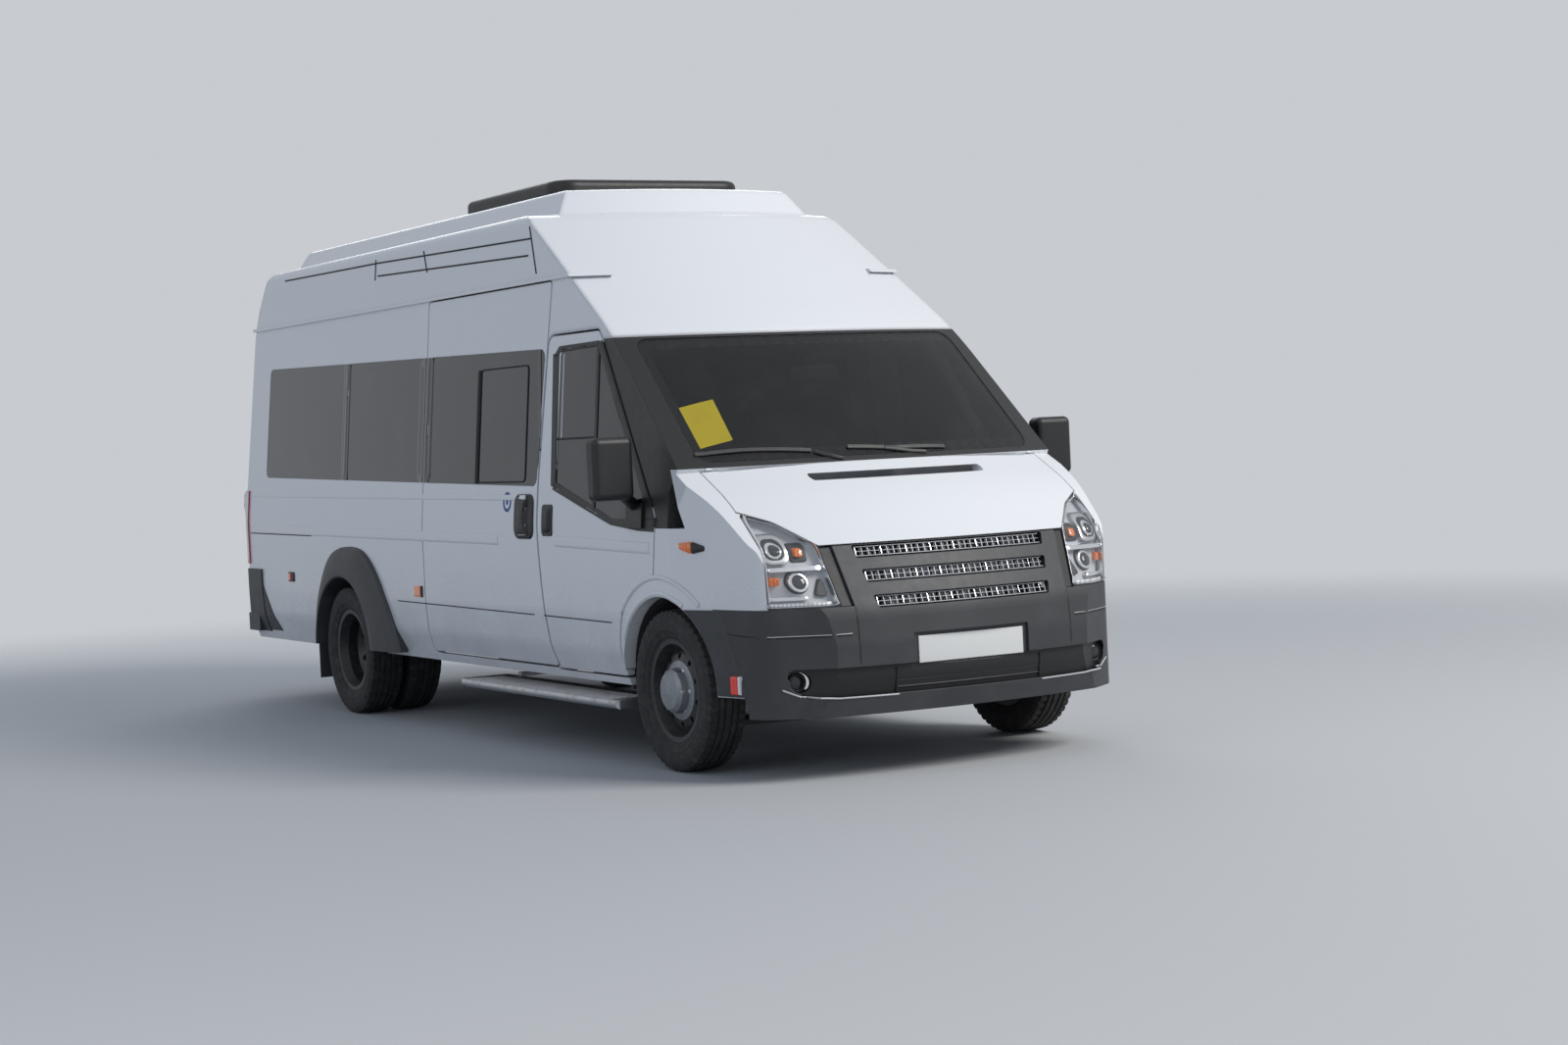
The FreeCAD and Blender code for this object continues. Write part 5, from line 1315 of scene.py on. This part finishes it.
class Tail:
    """Handle and joint of the rear doors, the plate's place and the cells of the tail lamps."""

    def make(self) -> None:
        """Builds the rear's fittings."""
        right = Kit("rear_door_right_fit", "rear_door_right_body")
        seat = Seat(Skin("rear_door_right"), Axis.X, -1)
        right.add(Finish.TRIM, seat.plate(rectangle(-0.155, -0.045, 1.03, 1.2, 0.02), 0.01))
        right.add(Finish.SEAM, seat.ribbon(straight((-0.04, 0.6), (-0.04, 2.1), step=0.1), 0.008, 0.002))
        right.build()
        left = Kit("rear_door_left_fit", "rear_door_left_body")
        left.plates(
            Seat(Skin("rear_door_left"), Axis.X, -1),
            (Finish.TRIM, rectangle(0.13, 0.67, 0.78, 0.92, 0.02), 0.004),
            (Finish.PLATE, rectangle(0.14, 0.66, 0.794, 0.906, 0.006), 0.006, {"base": 0.002}))
        left.build()
        kit = Kit("tail")
        for side in (RIGHT, LEFT):
            kit.plates(
                Seat(Skin("tail_lamps"), Axis.X, -1),
                (Finish.AMBER, rectangle(0.86, 0.955, 1.13, 1.21, 0.012) * (side, 1), 0.001),
                (Finish.WHITE_LENS, rectangle(0.86, 0.955, 0.84, 0.9, 0.012) * (side, 1), 0.001))
        kit.build()


@dataclass
class WheelNuts:
    """The nuts of the front wheels, each a short round block on the wheel's face."""

    nuts: int = 6
    circle: float = 0.1

    def make(self) -> None:
        """Builds the nuts."""
        for label, side in SIDES.items():
            kit = Kit(f"front_wheel_{label}_nuts", f"front_wheel_{label}_body")
            seat = Seat(Skin(f"front_wheel_{label}"), Axis.Y, side)
            for x, z in disc(FRONT_AXLE_X, AXLE_Z, self.circle, self.nuts):
                kit.add(Finish.SATIN_AND_HIGHLIGHT, seat.plate(disc(x, z, 0.01, 12), 0.004, soft=0.3))
            kit.build()


@dataclass
class Studio:
    """Pale floor and soft light, and the camera at the photograph's angle."""

    camera_place: Point = (12.182, -6.08, 1.43)
    angles: Point = (149.97, -1.95, -2.757)
    lens: float = 59.77
    sensor: float = 36.0
    fade: tuple[float, float] = (4.0, 11.0)
    floor_size: float = 160.0

    def camera(self) -> None:
        """Places the camera: right, up and back vectors from yaw, pitch and roll in degrees."""
        yaw, pitch, roll = np.radians(self.angles)
        forward = np.array([np.cos(yaw) * np.cos(pitch), np.sin(yaw) * np.cos(pitch), np.sin(pitch)])
        level = np.array([np.sin(yaw), -np.cos(yaw), 0.0])
        above = np.cross(level, forward)
        right = np.cos(roll) * level + np.sin(roll) * above
        up = -np.sin(roll) * level + np.cos(roll) * above
        data = bpy.data.cameras.new("camera")
        data.lens, data.sensor_width, data.clip_end = self.lens, self.sensor, 200
        camera = bpy.data.objects.new("camera", data)
        bpy.context.scene.collection.objects.link(camera)
        facing = Matrix(np.column_stack([right, up, -forward]).tolist()).to_4x4()
        camera.matrix_world = Matrix.Translation(self.camera_place) @ facing
        bpy.context.scene.camera = camera

    def floor(self) -> None:
        """A pale floor, far larger than the vehicle, that fades into the backdrop."""
        bpy.ops.mesh.primitive_plane_add(size=self.floor_size, location=(0, 0, 0))
        floor = bpy.context.object
        floor.name = "floor"
        s = Surface("studio_floor")
        x, y, _ = s.axes()
        near = 1.0 - (x * x + y * y).ramp(self.fade[0] ** 2, self.fade[1] ** 2)
        s.set(Base_Color=s.blend(s.noise(0.4) * 0.1, (0.5, 0.51, 0.52), (0.46, 0.465, 0.475)),
              Roughness=0.8, Alpha=near)
        floor.data.materials.append(s.material)

    def lamp(self, name: str, place: Point, aim: Point, size: float, power: float, colour: Colour) -> None:
        """Adds one square soft lamp aimed at a point."""
        data = bpy.data.lights.new(name, "AREA")
        data.size, data.energy, data.color = size, power, colour
        lamp = bpy.data.objects.new(name, data)
        bpy.context.scene.collection.objects.link(lamp)
        facing = (Vector(place) - Vector(aim)).to_track_quat("Z", "Y").to_matrix().to_4x4()
        lamp.matrix_world = Matrix.Translation(place) @ facing

    def world(self) -> None:
        """Even grey light, and a pale backdrop where the camera, gloss or glass looks at it."""
        world = bpy.data.worlds.new("studio")
        bpy.context.scene.world = world
        world.use_nodes = True
        t = Tree(world.node_tree)
        light = t.node("ShaderNodeBackground", {}, {"Color": (0.62, 0.72, 0.88), "Strength": 0.42})
        seen = t.node("ShaderNodeBackground", {}, {"Color": (0.72, 0.75, 0.79), "Strength": 0.8})
        camera, glass, gloss = (
            t.node("ShaderNodeLightPath", {}, {}, f"Is {ray} Ray") for ray in ("Camera", "Transmission", "Glossy"))
        mixed = t.node("ShaderNodeMixShader", {}, {0: camera.most(glass).most(gloss), 1: light, 2: seen})
        t.end("ShaderNodeOutputWorld", mixed)

    def make(self) -> None:
        """Sets up the camera, floor, lamps and world."""
        bpy.context.scene.view_settings.view_transform = "Standard"
        self.camera()
        self.floor()
        self.world()
        self.lamp("key", (12, 7, 11), (0.5, 0, 1.2), 7, 2000, (1.0, 0.98, 0.95))
        self.lamp("fill", (4, -14, 7), (0, 0, 1.2), 9, 200, (0.78, 0.87, 1.0))
        self.lamp("back", (-12, 5, 8), (0, 0, 1.2), 8, 420, (0.95, 0.97, 1.0))


def dress_nodes() -> None:
    """Gives every CAD node the finish of its material slot."""
    slots = {part["node"]: part["material_slot"] for part in frame["record"]["subparts"]}
    finishes = {finish.value.name: finish for finish in Finish}
    for name, node in frame["nodes"].items():
        finish = Finish.ROOF if name == "roof" else finishes[slots[name]]
        node.data.materials.clear()
        node.data.materials.append(finish.value.material())


PARTS = (
    Tyres(), BodySide("right"), BodySide("left"), FrontArches(), Flares(), RoofTrim(), Nose(), Headlamps(), Screen(),
    DoorMirrors(), Cabin(), Seats(), Tail(), WheelNuts(),
)


def main() -> None:
    """Builds the looks of the minibus round its frame."""
    logging.basicConfig(level=logging.INFO, format="%(message)s")
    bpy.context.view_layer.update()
    Studio().make()
    dress_nodes()
    for part in PARTS:
        part.make()


if __name__ == "__main__":
    main()
